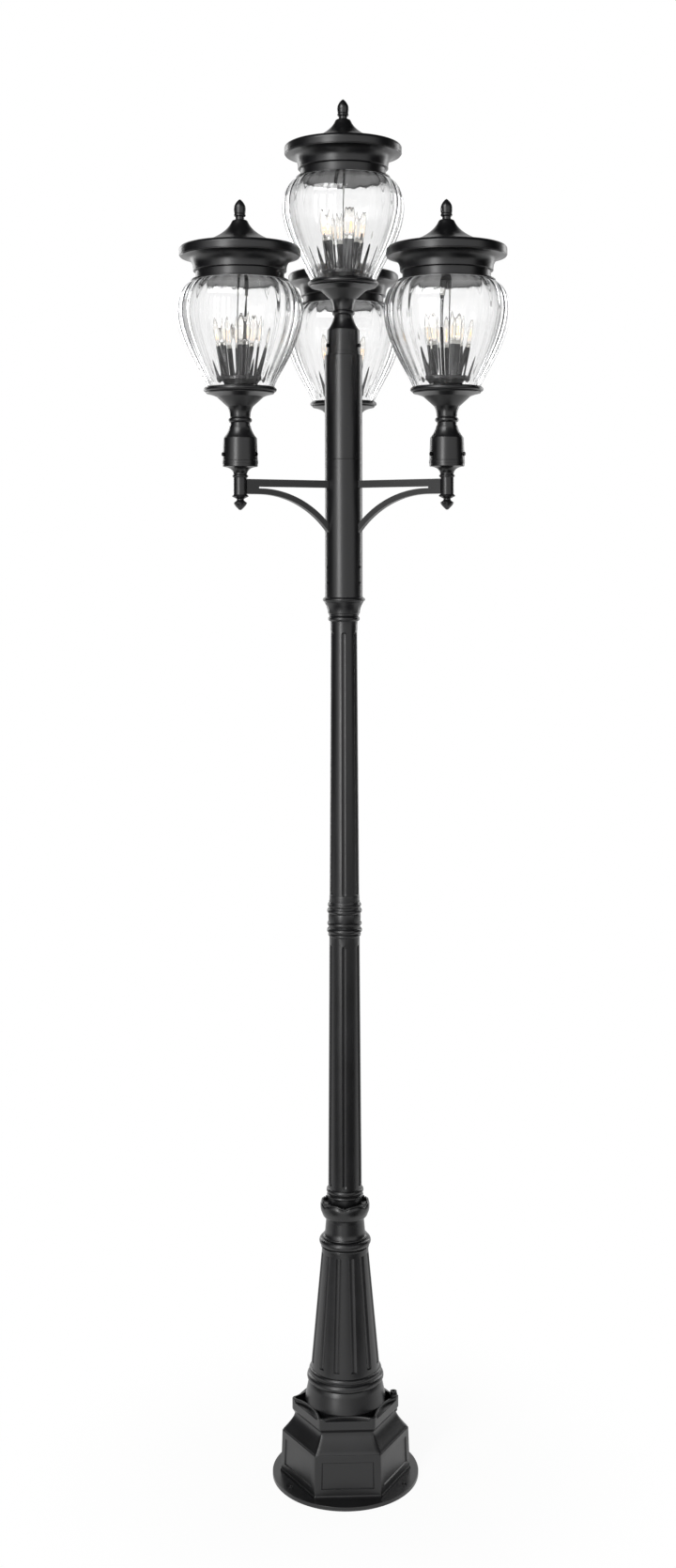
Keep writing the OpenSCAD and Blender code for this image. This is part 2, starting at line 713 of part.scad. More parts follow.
// Cap screws that clamp the fitter to its tenon
module set_screws() {
    tip = tenon_r + clearance;
    run = fitter_d / 2 - tip;
    color(steel) fitter_screw_places() translate([0, 0, tip]) difference() {
        union() {
            cylinder(d = fitter_screw_d, h = run + 2);
            translate([0, 0, run]) cylinder(d = 1.6 * fitter_screw_d, h = 4.5);
        }
        translate([0, 0, run + 2.5]) cylinder(d = fitter_screw_d / 2, h = 3, $fn = 6);
    }
}

module dish() {
    rim_r = dish_d / 2;
    seat_r = glass_foot_d / 2 + rim_lip_h * glass_foot_flare / glass_foot_rise + 2 * clearance;
    bead_r = dish_bead_d / 2;
    z_bead = z_dish + 13.5;
    flare = [[dish_neck_r, z_dish + 22], [dish_neck_r, z_dish_rim - 43],
        [(dish_neck_r + rim_r) * 0.4, z_dish_rim - 23], [rim_r - 12, z_dish_rim - 16]];
    side = concat(
        [[dish_spigot_r, z_dish - 10], [dish_spigot_r, z_dish], [dish_neck_r - 0.8, z_dish],
            [dish_neck_r - 0.8, z_dish + 6]],
        arc([bead_r - 6, z_bead], 6, -80, 80, 10),
        curve(flare[0], flare[1], flare[2], flare[3]),
        [[rim_r - 10, z_dish_rim - 15.5], [rim_r - 7, z_dish_rim - 15], [rim_r - 5.5, z_dish_rim - 13],
            [rim_r - 6.5, z_dish_rim - 11]],
        arc([rim_r - 5, z_dish_rim - 6], 5, -75, 70, 10),
        [[rim_r - 4, z_dish_rim], [seat_r, z_dish_rim], [seat_r, z_glass], [rod_hole_r, z_glass]]);
    inside = concat(
        [[dish_spigot_r - dish_wall, z_dish - 10], [dish_spigot_r - dish_wall, z_dish + 8]],
        curve(flare[0] - [dish_wall, 0], flare[1] - [dish_wall, -dish_wall / 2],
            flare[2] - [dish_wall, -dish_wall], flare[3] - [dish_wall, -dish_wall]),
        [[rim_r - 15, z_glass - dish_wall], [rod_hole_r, z_glass - dish_wall]]);
    color(powder_black) turned(side, inside);
}

// The pan that carries the candles
module cluster() {
    pan_r = candle_circle_d / 2 + sleeve_d / 2 + 2;
    wall = 3;
    side = concat(
        [[38, z_glass], [39, z_glass + 12]],
        curve([40, z_glass + 14], [44, z_glass + 19], [pan_r, z_glass + 17], [pan_r, z_glass + 22], 8),
        [[pan_r, z_candle - 2], [pan_r - 2, z_candle], [rod_hole_r, z_candle]]);
    bore = [[38 - wall, z_glass], [39 - wall, z_glass + 15], [pan_r - wall, z_glass + 22],
        [pan_r - wall, z_candle - wall], [rod_hole_r, z_candle - wall]];
    color(powder_black) turned(side, bore);
}

module at_candles() {
    around(candles_per_lantern, candle_turn) translate([candle_circle_d / 2, 0, 0]) children();
}

module candles() {
    wall = 2;
    color(powder_black) at_candles() difference() {
        round_bar(sleeve_d / 2, z_candle, z_holder);
        round_bar(sleeve_d / 2 - wall, z_candle - 1, z_holder + 1);
    }
}

// Lampholders that stand in the sleeves, each with a bright collar on top
module sockets() {
    body_r = sleeve_d / 2 - 2 - clearance;
    collar_r = sleeve_d / 2 - 1.2;
    side = [[0, z_candle], [body_r, z_candle], [body_r, z_holder], [collar_r, z_holder],
        [collar_r, z_bulb - 1], [collar_r - 1, z_bulb], [holder_bore_r, z_bulb],
        [holder_bore_r, z_bulb - 26], [0, z_bulb - 26]];
    color(steel) at_candles() rotate_extrude() polygon(side);
}

// Clear flame-tip bulbs, open at the neck where the screw cap holds them
module bulbs() {
    r = bulb_d / 2;
    wall = 1;
    z_neck_low = z_bulb - 20;
    z_wide = z_bulb + 0.33 * bulb_h;
    z_tip = z_bulb + bulb_h;
    side = concat([[bulb_neck_r, z_neck_low], [bulb_neck_r, z_bulb]],
        curve([bulb_neck_r + 0.5, z_bulb + 2], [r - 1, z_bulb + 7], [r, z_wide - 8], [r, z_wide], 8),
        curve([r, z_wide + 1], [r, z_wide + 0.28 * bulb_h], [0.45 * r, z_tip - 0.18 * bulb_h],
            [0.12 * r, z_tip - 1], 10),
        [[0, z_tip]]);
    inside = concat([[bulb_neck_r - wall, z_neck_low], [bulb_neck_r - wall, z_bulb]],
        curve([bulb_neck_r + 0.5 - wall, z_bulb + 2], [r - 1 - wall, z_bulb + 7], [r - wall, z_wide - 8],
            [r - wall, z_wide], 8),
        curve([r - wall, z_wide + 1], [r - wall, z_wide + 0.26 * bulb_h], [0.4 * r, z_tip - 0.22 * bulb_h],
            [0.08 * r, z_tip - 6], 10), [[0, z_tip - 6.5]]);
    color(clear_glass) at_candles() turned(side, inside);
}

// The threaded rod with the nut under the dish and the coupling nut under the cap
module rod() {
    color(powder_black) {
        round_bar(rod_r, z_glass - 22, z_finial + finial_rod_h);
        translate([0, 0, z_glass - dish_wall - 7]) cylinder(r = 2 * rod_r, h = 7, $fn = 6);
        translate([0, 0, z_boss - clearance - coupling_h]) cylinder(r = 1.7 * rod_r, h = coupling_h, $fn = 6);
    }
}

// Outside of the glass, from its foot to its mouth
function glass_side(inset) = let (
        foot_r = glass_foot_d / 2 - inset,
        belly_r = belly_d / 2 - inset,
        mouth_r = mouth_d / 2 - inset,
        z_belly = z_glass + 0.7 * glass_h)
    concat(
        curve([foot_r, z_glass], [foot_r + glass_foot_flare, z_glass + glass_foot_rise],
            [belly_r - 5, z_glass + 0.41 * glass_h], [belly_r, z_belly], 16),
        curve([belly_r, z_belly + 1], [belly_r, z_belly + 0.14 * glass_h],
            [belly_r - 11, z_glass_top - 0.04 * glass_h], [mouth_r, z_glass_top], 14));

module glass() {
    color(clear_glass) turned(glass_side(0), glass_side(glass_wall));
}

module cap() {
    brim_r = brim_d / 2;
    band_r = mouth_d / 2 - 7;
    step_r = band_r + 6;
    flange_r = mouth_d / 2 + 4;
    neck_r = 11.5;
    shoulder_r = 19.5;
    pan_z = z_cap + 3;
    boss_r = 10;
    // The rounded edge of the brim, the concave roof, and the round shoulder under the finial
    nose = [[brim_r, z_roof - 8], [brim_r - 2, z_roof - 3.5], [brim_r - 5.5, z_roof - 1],
        [brim_r - 10, z_roof]];
    roof = [[brim_r - 14, z_roof + 0.5], [0.61 * brim_r, z_roof + 0.05 * roof_h],
        [0.23 * brim_r, z_roof + 0.41 * roof_h], [shoulder_r, z_finial - 4.5]];
    shoulder = [[shoulder_r - 0.5, z_finial - 3.7], [shoulder_r - 1.5, z_finial - 2],
        [shoulder_r - 4, z_finial - 0.4], [neck_r, z_finial]];
    side = concat(
        [[flange_r, z_cap], [flange_r, z_cap + 3], [band_r, z_cap + 5], [band_r, z_cap + 22],
            [step_r, z_cap + 24], [step_r, z_cap + 30]],
        curve([step_r, z_cap + 31], [step_r + 1, z_brim - 12], [brim_r - 21, z_brim - 1.5],
            [brim_r - 5, z_brim - 1]),
        [[brim_r - 2, z_brim], [brim_r - 2, z_brim + 1.5], [brim_r, z_brim + 2.5], [brim_r, z_roof - 11]],
        curve(nose[0], nose[1], nose[2], nose[3], 6),
        curve(roof[0], roof[1], roof[2], roof[3], 16),
        curve(shoulder[0], shoulder[1], shoulder[2], shoulder[3], 5));
    inside = concat(
        [[boss_r, z_cap], [boss_r, z_boss], [rod_hole_r, z_boss], [rod_hole_r, pan_z],
            [band_r - cap_wall, pan_z + 2],
            [band_r - cap_wall, z_cap + 26], [step_r - cap_wall, z_cap + 31]],
        curve([step_r - cap_wall, z_cap + 32], [step_r - 1, z_brim - 10], [brim_r - 23, z_brim + 1],
            [brim_r - 6, z_brim + 3]),
        [[brim_r - cap_wall, z_brim + 5], [brim_r - cap_wall, z_roof - 11]],
        curve(nose[0] - [cap_wall, 1], nose[1] - [cap_wall, cap_wall], nose[2] - [cap_wall, cap_wall],
            nose[3] - [cap_wall, cap_wall], 6),
        curve(roof[0] - [cap_wall, cap_wall], roof[1] - [cap_wall, cap_wall],
            roof[2] - [cap_wall, cap_wall], roof[3] - [cap_wall, 1.5 * cap_wall], 16),
        [[rod_hole_r, z_finial - 2 * cap_wall], [rod_hole_r, z_finial]]);
    color(powder_black) turned(side, inside);
}

// The nut on top of the rod
module finial() {
    r = finial_d / 2;
    z = z_finial + clearance;
    h = finial_h - clearance;
    side = concat(
        [[rod_hole_r, z], [10.5, z], [10.5, z + 6.5]],
        arc([r - 3.9, z + 10.7], 3.9, -70, 60, 8),
        curve([r - 1.2, z + 14.7], [r + 0.5, z + 19.5], [r + 0.9, z + 0.6 * h], [r - 2, z + 0.72 * h], 10),
        curve([r - 2.6, z + 0.745 * h], [r - 4.6, z + 0.825 * h], [r - 7.3, z + 0.905 * h],
            [3, z + h - 1.3], 8),
        [[1, z + h], [0, z + h], [0, z_finial + finial_rod_h + 1],
            [rod_hole_r, z_finial + finial_rod_h + 1]]);
    color(powder_black) rotate_extrude() polygon(side);
}

module at_head(h) {
    turn = h == "left" ? arm_turns[0] : h == "right" ? arm_turns[1] : arm_turns[2];
    if (h == "top") translate([0, 0, z_top_lantern]) children();
    else translate([arm_reach * cos(turn), arm_reach * sin(turn), z_side_lantern]) children();
}

base_plate();
hex_base();
pedestal();
petal_collar();
lower_shaft();
mid_ring();
upper_shaft();
top_collar();
head_tube();
top_tube();
left_arm();
right_arm();
back_arm();
drop_finials();
post_screws();
supply_wires();
for (h = HEADS) {
    at_head(h) fitter();
    at_head(h) set_screws();
    at_head(h) dish();
    at_head(h) cluster();
    at_head(h) candles();
    at_head(h) sockets();
    at_head(h) bulbs();
    at_head(h) rod();
    at_head(h) glass();
    at_head(h) cap();
    at_head(h) finial();
}
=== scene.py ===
import math

import bmesh
import bpy
from mathutils import Matrix, Vector
from mathutils.geometry import interpolate_bezier


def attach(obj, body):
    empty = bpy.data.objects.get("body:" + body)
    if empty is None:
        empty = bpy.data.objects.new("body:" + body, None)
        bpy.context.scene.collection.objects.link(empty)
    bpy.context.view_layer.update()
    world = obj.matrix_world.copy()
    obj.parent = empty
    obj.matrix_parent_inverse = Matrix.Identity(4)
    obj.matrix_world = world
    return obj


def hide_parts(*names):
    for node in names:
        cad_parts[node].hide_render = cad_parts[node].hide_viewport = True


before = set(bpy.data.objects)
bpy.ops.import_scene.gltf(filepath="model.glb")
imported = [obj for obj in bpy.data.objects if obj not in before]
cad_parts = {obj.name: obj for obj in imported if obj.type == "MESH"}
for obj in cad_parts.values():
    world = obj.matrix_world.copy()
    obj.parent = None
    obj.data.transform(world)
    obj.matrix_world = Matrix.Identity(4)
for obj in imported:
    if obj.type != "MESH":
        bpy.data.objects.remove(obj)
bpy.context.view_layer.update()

# The studio. The post stands on a sheet of matt white card in a plain white room, as for a
# catalogue picture. The card keeps a faint shadow of the post.
MM = 0.001
FLOOR_HALF, FLOOR_DROP = 30.0, 0.4
SHADOW_NEAR, SHADOW_FAR, CARD_GLOW = 0.2, 0.9, 0.93
ROOM_LIGHT = 0.22


def colour(code):
    """Turns an sRGB hex code such as #1c1d1f to a linear colour."""
    channels = [int(code[i:i + 2], 16) / 255 for i in (1, 3, 5)]
    return [c / 12.92 if c <= 0.04045 else ((c + 0.055) / 1.055) ** 2.4 for c in channels] + [1.0]


def add(tree, kind, sockets=None, **settings):
    """Adds a node with its settings, and gives each socket a value or a link."""
    node = tree.nodes.new(kind)
    for name, value in settings.items():
        setattr(node, name, value)
    for name, value in (sockets or {}).items():
        if isinstance(value, bpy.types.NodeSocket):
            tree.links.new(value, node.inputs[name])
        else:
            node.inputs[name].default_value = value
    return node


def blank_tree(owner):
    """Empties the node tree of a new material or world, and returns it."""
    owner.use_nodes = True
    owner.node_tree.nodes.clear()
    return owner.node_tree


def in_view(tree):
    """Gives 1 to a ray from the camera, off a glossy face or through glass, and 0 to any other."""
    path = add(tree, "ShaderNodeLightPath")
    seen = add(tree, "ShaderNodeMath", {0: path.outputs["Is Camera Ray"], 1: path.outputs["Is Glossy Ray"]},
               operation="MAXIMUM")
    seen = add(tree, "ShaderNodeMath", {0: seen.outputs[0], 1: path.outputs["Is Transmission Ray"]},
               operation="MAXIMUM")
    return seen.outputs[0]


def show(mesh, name):
    obj = bpy.data.objects.new(name, mesh)
    bpy.context.scene.collection.objects.link(obj)
    return obj


card = bpy.data.materials.new("matt_white_card")
tree = blank_tree(card)
spot = add(tree, "ShaderNodeTexCoord")
away = add(tree, "ShaderNodeVectorMath", {0: spot.outputs["Object"]}, operation="LENGTH")
share = add(tree, "ShaderNodeMapRange", {"Value": away.outputs["Value"], "From Min": SHADOW_NEAR,
                                         "From Max": SHADOW_FAR, "To Min": CARD_GLOW, "To Max": 1.0},
            interpolation_type="SMOOTHSTEP")
share = add(tree, "ShaderNodeMath", {0: in_view(tree), 1: share.outputs["Result"]}, operation="MULTIPLY")
lit = add(tree, "ShaderNodeBsdfDiffuse", {"Color": colour("#f4f4f2"), "Roughness": 0.6})
glow = add(tree, "ShaderNodeEmission", {"Color": colour("#ffffff"), "Strength": 1.0})
mixed = add(tree, "ShaderNodeMixShader", {0: share.outputs[0], 1: lit.outputs[0], 2: glow.outputs[0]})
add(tree, "ShaderNodeOutputMaterial", {"Surface": mixed.outputs[0]})

bm = bmesh.new()
bmesh.ops.create_grid(bm, x_segments=1, y_segments=1, size=FLOOR_HALF,
                      matrix=Matrix.Translation((0, 0, -FLOOR_DROP * MM)))
floor_mesh = bpy.data.meshes.new("card_floor")
bm.to_mesh(floor_mesh)
bm.free()
floor_mesh.materials.append(card)
show(floor_mesh, "card_floor")

room = bpy.data.worlds.new("white_room")
bpy.context.scene.world = room
tree = blank_tree(room)
strength = add(tree, "ShaderNodeMapRange", {"Value": in_view(tree), "To Min": ROOM_LIGHT, "To Max": 1.0})
sky = add(tree, "ShaderNodeBackground", {"Color": colour("#ffffff"), "Strength": strength.outputs[0]})
add(tree, "ShaderNodeOutputWorld", {"Surface": sky.outputs[0]})

# Black cloths hang at both sides of the post and over it, and lie on the card in front of it.
# They keep the room's white off the sides of the coat and show in nothing else. Two tall black
# flags at the sides give the glass its dark outline.
CLOTH_R, FLAG_R, CLOTH_LOW, CLOTH_HIGH, CEILING = 7.5, 7.3, 0.3, 9.0, 8.5
cloth = bpy.data.materials.new("black_studio_cloth")
tree = blank_tree(cloth)
dark = add(tree, "ShaderNodeBsdfDiffuse", {"Color": colour("#0c0c0c")})
add(tree, "ShaderNodeOutputMaterial", {"Surface": dark.outputs[0]})


def hang(bm, radius, start, turn):
    """Adds an upright sheet of cloth round the post, from one angle in degrees over a turn."""
    start = math.radians(start)
    foot = bm.verts.new((radius * math.cos(start), radius * math.sin(start), CLOTH_LOW))
    head = bm.verts.new((foot.co.x, foot.co.y, CLOTH_HIGH))
    bmesh.ops.spin(bm, geom=[foot, head, bm.edges.new((foot, head))], cent=(0, 0, 0), axis=(0, 0, 1),
                   angle=math.radians(turn), steps=64)


def put_up(bm, name):
    """Puts up a cloth in the studio that isn't in view, and casts no shadow."""
    mesh = bpy.data.meshes.new(name)
    bm.to_mesh(mesh)
    bm.free()
    mesh.materials.append(cloth)
    obj = show(mesh, name)
    obj.visible_camera = False
    obj.visible_shadow = False
    obj.visible_diffuse = False
    return obj


bm = bmesh.new()
hang(bm, CLOTH_R, 120, 82)
hang(bm, CLOTH_R, -22, 82)
for x0, x1, y0, y1, z in ((-6.0, -0.75, -6.5, -0.5, 2 * MM), (0.4, 6.0, -6.5, -0.5, 2 * MM),
                          (-7.0, 7.0, -7.0, 7.0, CEILING)):
    corners = [bm.verts.new(corner) for corner in ((x0, y0, z), (x1, y0, z), (x1, y1, z), (x0, y1, z))]
    bm.faces.new(corners)
put_up(bm, "studio_cloths").visible_transmission = False
bm = bmesh.new()
hang(bm, FLAG_R, 142, 40)
hang(bm, FLAG_R, -2, 40)
put_up(bm, "studio_flags")

# Soft boxes: a broad one at the front left, a high one in front, and two weak ones behind, so that
# the post reads as round from every side.
POST_MIDDLE = Vector((0, 0, 1.7))
for name, place, width, height, watts in (
        ("broad_box", (-2.5, -4.4, 2.4), 1.2, 4.4, 150),
        ("high_front_box", (-1.8, -2.6, 5.4), 2.2, 1.2, 90),
        ("rear_left_box", (-3.0, 4.0, 2.6), 1.0, 4.0, 70),
        ("rear_right_box", (3.4, 3.4, 2.6), 1.0, 4.0, 70)):
    lamp = bpy.data.lights.new(name, "AREA")
    lamp.shape = "RECTANGLE"
    lamp.size = width
    lamp.size_y = height
    lamp.energy = watts
    box = bpy.data.objects.new(name, lamp)
    bpy.context.scene.collection.objects.link(box)
    box.location = place
    box.rotation_euler = (POST_MIDDLE - Vector(place)).to_track_quat("-Z", "Y").to_euler()
    box.visible_camera = False

# The camera stands level at eye height 2.29 m, 4.38 m from the post. Its frame hangs low,
# so that the whole post is in view while its sides stay upright, and it leans a touch.
IMAGE_W, IMAGE_H = 720, 1669
FOCAL_PIXELS, AXIS_COLUMN, HORIZON_ROW = 1884, 366.15, 582
DISTANCE, EYE_HEIGHT, LEAN = 4.382, 2.291, 0.11
camera_data = bpy.data.cameras.new("level_camera")
camera_data.sensor_width = 36.0
camera_data.lens = camera_data.sensor_width * FOCAL_PIXELS / IMAGE_H
camera_data.shift_x = (IMAGE_W / 2 - AXIS_COLUMN) / IMAGE_H
camera_data.shift_y = (HORIZON_ROW - IMAGE_H / 2) / IMAGE_H
camera = bpy.data.objects.new("level_camera", camera_data)
bpy.context.scene.collection.objects.link(camera)
camera.location = (0, -DISTANCE, EYE_HEIGHT)
camera.rotation_euler = (math.radians(90), math.radians(LEAN), 0)
bpy.context.scene.camera = camera
bpy.context.scene.view_settings.view_transform = "Standard"

# Base plate: a round steel plate with anchor holes and a cable hole, powder-coated with the
# rest of the post. It lies on the ground and carries everything.
PLATE_R, PLATE_T = 180, 10
ANCHOR_R, ANCHOR_HOLE_R, CABLE_HOLE_R = 160, 5.5, 30
ARM_TURNS = {"left": 210, "right": -30, "back": 90}
BASE_TURN = 2.3

# Satin black powder coat, sprayed and baked on cast aluminium: a dark neutral black with a
# low sheen. Its orange-peel skin has lumps of 2 mm, drawn at 4 mm so that they show, and
# the film is a little duller in broad patches where it went on thicker.
powder = bpy.data.materials.new("satin_black_powder_coat")
tree = blank_tree(powder)
spot = add(tree, "ShaderNodeTexCoord")
peel = add(tree, "ShaderNodeTexNoise", {"Vector": spot.outputs["Object"], "Scale": 1 / (4 * MM),
                                        "Detail": 2.0, "Roughness": 0.5})
patches = add(tree, "ShaderNodeTexNoise", {"Vector": spot.outputs["Object"], "Scale": 1 / (90 * MM),
                                           "Detail": 3.0, "Roughness": 0.55})
tint = add(tree, "ShaderNodeValToRGB", {0: patches.outputs[0]})
tint.color_ramp.elements[0].color = colour("#101011")
tint.color_ramp.elements[0].position = 0.3
tint.color_ramp.elements[1].color = colour("#141416")
tint.color_ramp.elements[1].position = 0.7
dull = add(tree, "ShaderNodeMapRange", {"Value": patches.outputs[0], "From Min": 0.3, "From Max": 0.7,
                                        "To Min": 0.31, "To Max": 0.37})
bump = add(tree, "ShaderNodeBump", {"Height": peel.outputs[0], "Strength": 0.12, "Distance": 0.4 * MM})
coat = add(tree, "ShaderNodeBsdfPrincipled", {
    "Base Color": tint.outputs[0], "Roughness": dull.outputs[0], "Normal": bump.outputs[0],
    "IOR": 1.5, "Specular IOR Level": 0.55})
add(tree, "ShaderNodeOutputMaterial", {"Surface": coat.outputs[0]})

SHARP = math.radians(34)


def soften(bm, radius):
    """Rounds the crisp edges of a closed mesh over a radius in millimetres."""
    edges = [e for e in bm.edges if e.is_manifold and e.calc_face_angle() > SHARP]
    bmesh.ops.bevel(bm, geom=edges, offset=radius * MM, offset_type="OFFSET", segments=2, profile=0.5,
                    affect="EDGES", clamp_overlap=True, material=-1)


def finish_piece(bm, name, finish, slot, body, *nodes):
    """Makes a piece of the bmesh, smooth across its gentle edges, and sets it on its body."""
    bmesh.ops.recalc_face_normals(bm, faces=bm.faces)
    for face in bm.faces:
        face.smooth = True
    for edge in bm.edges:
        edge.smooth = edge.is_manifold and edge.calc_face_angle() < SHARP
    mesh = bpy.data.meshes.new(name)
    bm.to_mesh(mesh)
    bm.free()
    mesh.materials.append(finish)
    obj = show(mesh, name)
    even = obj.modifiers.new("even_normals", "WEIGHTED_NORMAL")
    even.keep_sharp = True
    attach(obj, body)
    if nodes:
        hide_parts(*nodes)
    return obj


bm = bmesh.new()
bmesh.ops.create_circle(bm, radius=PLATE_R * MM, segments=160)
bmesh.ops.create_circle(bm, radius=CABLE_HOLE_R * MM, segments=48)
for turn in ARM_TURNS.values():
    bmesh.ops.create_circle(bm, radius=ANCHOR_HOLE_R * MM, segments=24,
                            matrix=Matrix.Rotation(math.radians(turn + BASE_TURN), 4, "Z")
                            @ Matrix.Translation((ANCHOR_R * MM, 0, 0)))
bmesh.ops.triangle_fill(bm, use_beauty=True, edges=bm.edges[:])
top = bmesh.ops.extrude_face_region(bm, geom=bm.faces[:])
bmesh.ops.translate(bm, verts=[v for v in top["geom"] if isinstance(v, bmesh.types.BMVert)],
                    vec=(0, 0, PLATE_T * MM))
bmesh.ops.recalc_face_normals(bm, faces=bm.faces)
soften(bm, 1.2)
finish_piece(bm, "steel_base_plate", powder, "powder_coat", "post", "base_plate")

# Base cover: one aluminium casting bolted over the anchors. Its six panelled sides carry a
# hollow moulding and a rim. Each side of the rim is scooped in to a lip against the drum, and
# a ring inside seats the pedestal.
FOOT_ACROSS, SHOULDER_ACROSS, GROOVE_ACROSS, RIM_ACROSS = 140.5, 136, 109, 114.5
Z_SHOULDER, Z_GROOVE, Z_POCKET, Z_SEAT = 110, 152, 158, 188
PANEL_BORDER, PANEL_DEPTH, PANEL_SLOPE = 14, 2.5, 2
PANEL_LEAST_AREA = 100 ** 2
SIDE_STEPS, HALF_SIDE, CORNER_CUT = 24, 81, 2.6
CORNER_STEPS = (0.896, 0.902)  # shares of half a side, at the two rows beside each corner
SCOOP_H, SCOOP_END, SCOOP_X, SCOOP_R = 7, 57.1, 233.4, 131.9
LIP_T, LIP_ROUND, LIP_BEND = 5, 2.4, 0.7
SEAT_R, SEAT_IN_R, RIM_IN_ACROSS = 97, 84, 108.5
LUG_X, LUG_R, LUG_TOP = 119.2, 9.5, 193
HOLLOW_R, HOLLOW_ACROSS, Z_HOLLOW, Z_FOOT = 96, 128, 102, 10


def curve(*corners, steps=12):
    """Points along a cubic curve in the upright plane, as (radius, height) in millimetres."""
    points = interpolate_bezier(*[Vector(corner) for corner in corners], steps + 1)
    return [(point.x, point.y) for point in points]


def on_side(v):
    """The side of the hexagon that a vertex is on, and its place across and along that side."""
    middle = round((math.degrees(math.atan2(v.co.y, v.co.x)) - 90) / 60) * 60 + 90
    turned_back = Matrix.Rotation(-math.radians(middle), 2) @ v.co.xy
    return Matrix.Rotation(math.radians(middle), 2), turned_back.x / MM, turned_back.y / MM


def next_ring(bm, edges, place):
    """Extrudes a ring of edges. The place across, along and up of each new vertex is looked up."""
    made = bmesh.ops.extrude_edge_only(bm, edges=edges)["geom"]
    for v in made:
        if isinstance(v, bmesh.types.BMVert):
            side, across, along = on_side(v)
            across, along, height = place(across, along)
            v.co.xy = side @ Vector((across, along)) * MM
            v.co.z = height * MM
    return [e for e in made if isinstance(e, bmesh.types.BMEdge) and e.is_boundary]


def six_sided(half_width, height):
    return lambda across, along: (half_width, along * half_width / across, height)


def round_ring(radius, height):
    return lambda across, along: (across * radius / math.hypot(across, along),
                                  along * radius / math.hypot(across, along), height)


def scooped(inwards, height, corner_in, corner_height):
    """The ring along the scoops at one height, that stays on the rim's corners at another."""
    def place(across, along):
        if abs(along) > SCOOP_END:
            return RIM_ACROSS - corner_in, along, corner_height
        return SCOOP_X - math.sqrt((SCOOP_R + inwards) ** 2 - along ** 2), along, height
    return place


def pocket_edge(height):
    """The ring along the inner edges of the lips and round the corner pockets."""
    def place(across, along):
        if abs(along) > SCOOP_END:
            return RIM_IN_ACROSS, along * RIM_IN_ACROSS / RIM_ACROSS, height
        lip = SCOOP_X - math.sqrt((SCOOP_R + LIP_T) ** 2 - along ** 2)
        return max(lip, math.sqrt(max((SEAT_R + 0.3) ** 2 - along ** 2, 0))), along, height
    return place


def swing(bm, turn):
    """Turns all of a mesh round the upright axis by degrees."""
    bmesh.ops.rotate(bm, verts=bm.verts, cent=(0, 0, 0), matrix=Matrix.Rotation(math.radians(turn), 3, "Z"))


bm = bmesh.new()
hexagon = Matrix.Rotation(math.radians(30), 4, "Z")
bmesh.ops.create_circle(bm, segments=6, radius=FOOT_ACROSS / math.cos(math.radians(30)) * MM,
                        matrix=Matrix.Translation((0, 0, Z_FOOT * MM)) @ hexagon)
bmesh.ops.bevel(bm, geom=bm.verts[:], offset=CORNER_CUT * MM, offset_type="OFFSET", segments=1, profile=0.5,
                affect="VERTICES")
ring = next_ring(bm, bm.edges[:], six_sided(FOOT_ACROSS, 13.6))
for half_width, height in ((140.2, 14.6), (139.2, 15.4), (138.8, 16.6), (SHOULDER_ACROSS + 0.1, 107.6)):
    ring = next_ring(bm, ring, six_sided(half_width, height))
for half_width, height in ((135.6, 109.2), (134.8, Z_SHOULDER), (134, Z_SHOULDER)):
    ring = next_ring(bm, ring, six_sided(half_width, height))
open_edges = [e for e in bm.edges if e.is_boundary and e.calc_length() > 20 * MM]
bmesh.ops.subdivide_edges(bm, edges=open_edges, cuts=SIDE_STEPS - 1)
foot = [e for e in bm.edges if e.is_boundary and e.verts[0].co.z < (Z_FOOT + 1) * MM]
ring = [e for e in bm.edges if e.is_boundary and e.verts[0].co.z > (Z_FOOT + 1) * MM]
for v in {v for e in foot + ring for v in e.verts}:
    side, across, along = on_side(v)
    half_side = across * math.tan(math.radians(30)) * (1 - CORNER_CUT / HALF_SIDE)
    share = abs(along) / half_side
    step, inner = round(share * SIDE_STEPS / 2), SIDE_STEPS // 2 - 2
    if step <= inner:
        share = step / inner * CORNER_STEPS[0]
    elif step == inner + 1:
        share = CORNER_STEPS[1]
    v.co.xy = side @ Vector((across, math.copysign(share * half_side, along))) * MM
cove = curve((133.4, 112.5), (120.5, 128), (109, 142), (GROOVE_ACROSS, Z_GROOVE), steps=9)
for half_width, height in cove + [(110.2, 154.4), (113.6, 160.2), (114.3, 161.6), (RIM_ACROSS, 163.2)]:
    ring = next_ring(bm, ring, six_sided(half_width, height))
z_floor = Z_SEAT - SCOOP_H
for place in (lambda a, s: (RIM_ACROSS, s, z_floor - 0.7 if abs(s) < SCOOP_END else Z_SEAT - 1),
              lambda a, s: (RIM_ACROSS - 0.5, s, z_floor if abs(s) < SCOOP_END else Z_SEAT - 0.3),
              scooped(0, z_floor, 0.9, Z_SEAT - 0.1), scooped(0, Z_SEAT - LIP_ROUND, 1.1, Z_SEAT),
              scooped(LIP_BEND, Z_SEAT - LIP_BEND, 1.3, Z_SEAT), scooped(LIP_ROUND, Z_SEAT, 1.5, Z_SEAT),
              pocket_edge(Z_SEAT), pocket_edge(Z_POCKET),
              round_ring(SEAT_R, Z_POCKET), round_ring(SEAT_R, Z_SEAT), round_ring(SEAT_IN_R, Z_SEAT),
              round_ring(SEAT_IN_R, Z_GROOVE), round_ring(HOLLOW_R, Z_GROOVE), round_ring(HOLLOW_R, Z_HOLLOW),
              six_sided(HOLLOW_ACROSS, Z_HOLLOW), six_sided(HOLLOW_ACROSS, Z_FOOT)):
    ring = next_ring(bm, ring, place)
bmesh.ops.bridge_loops(bm, edges=ring + foot)
bmesh.ops.recalc_face_normals(bm, faces=bm.faces)
panels = [face for face in bm.faces if face.calc_area() > PANEL_LEAST_AREA * MM ** 2]
bmesh.ops.inset_individual(bm, faces=panels, thickness=PANEL_BORDER * MM, use_even_offset=True)
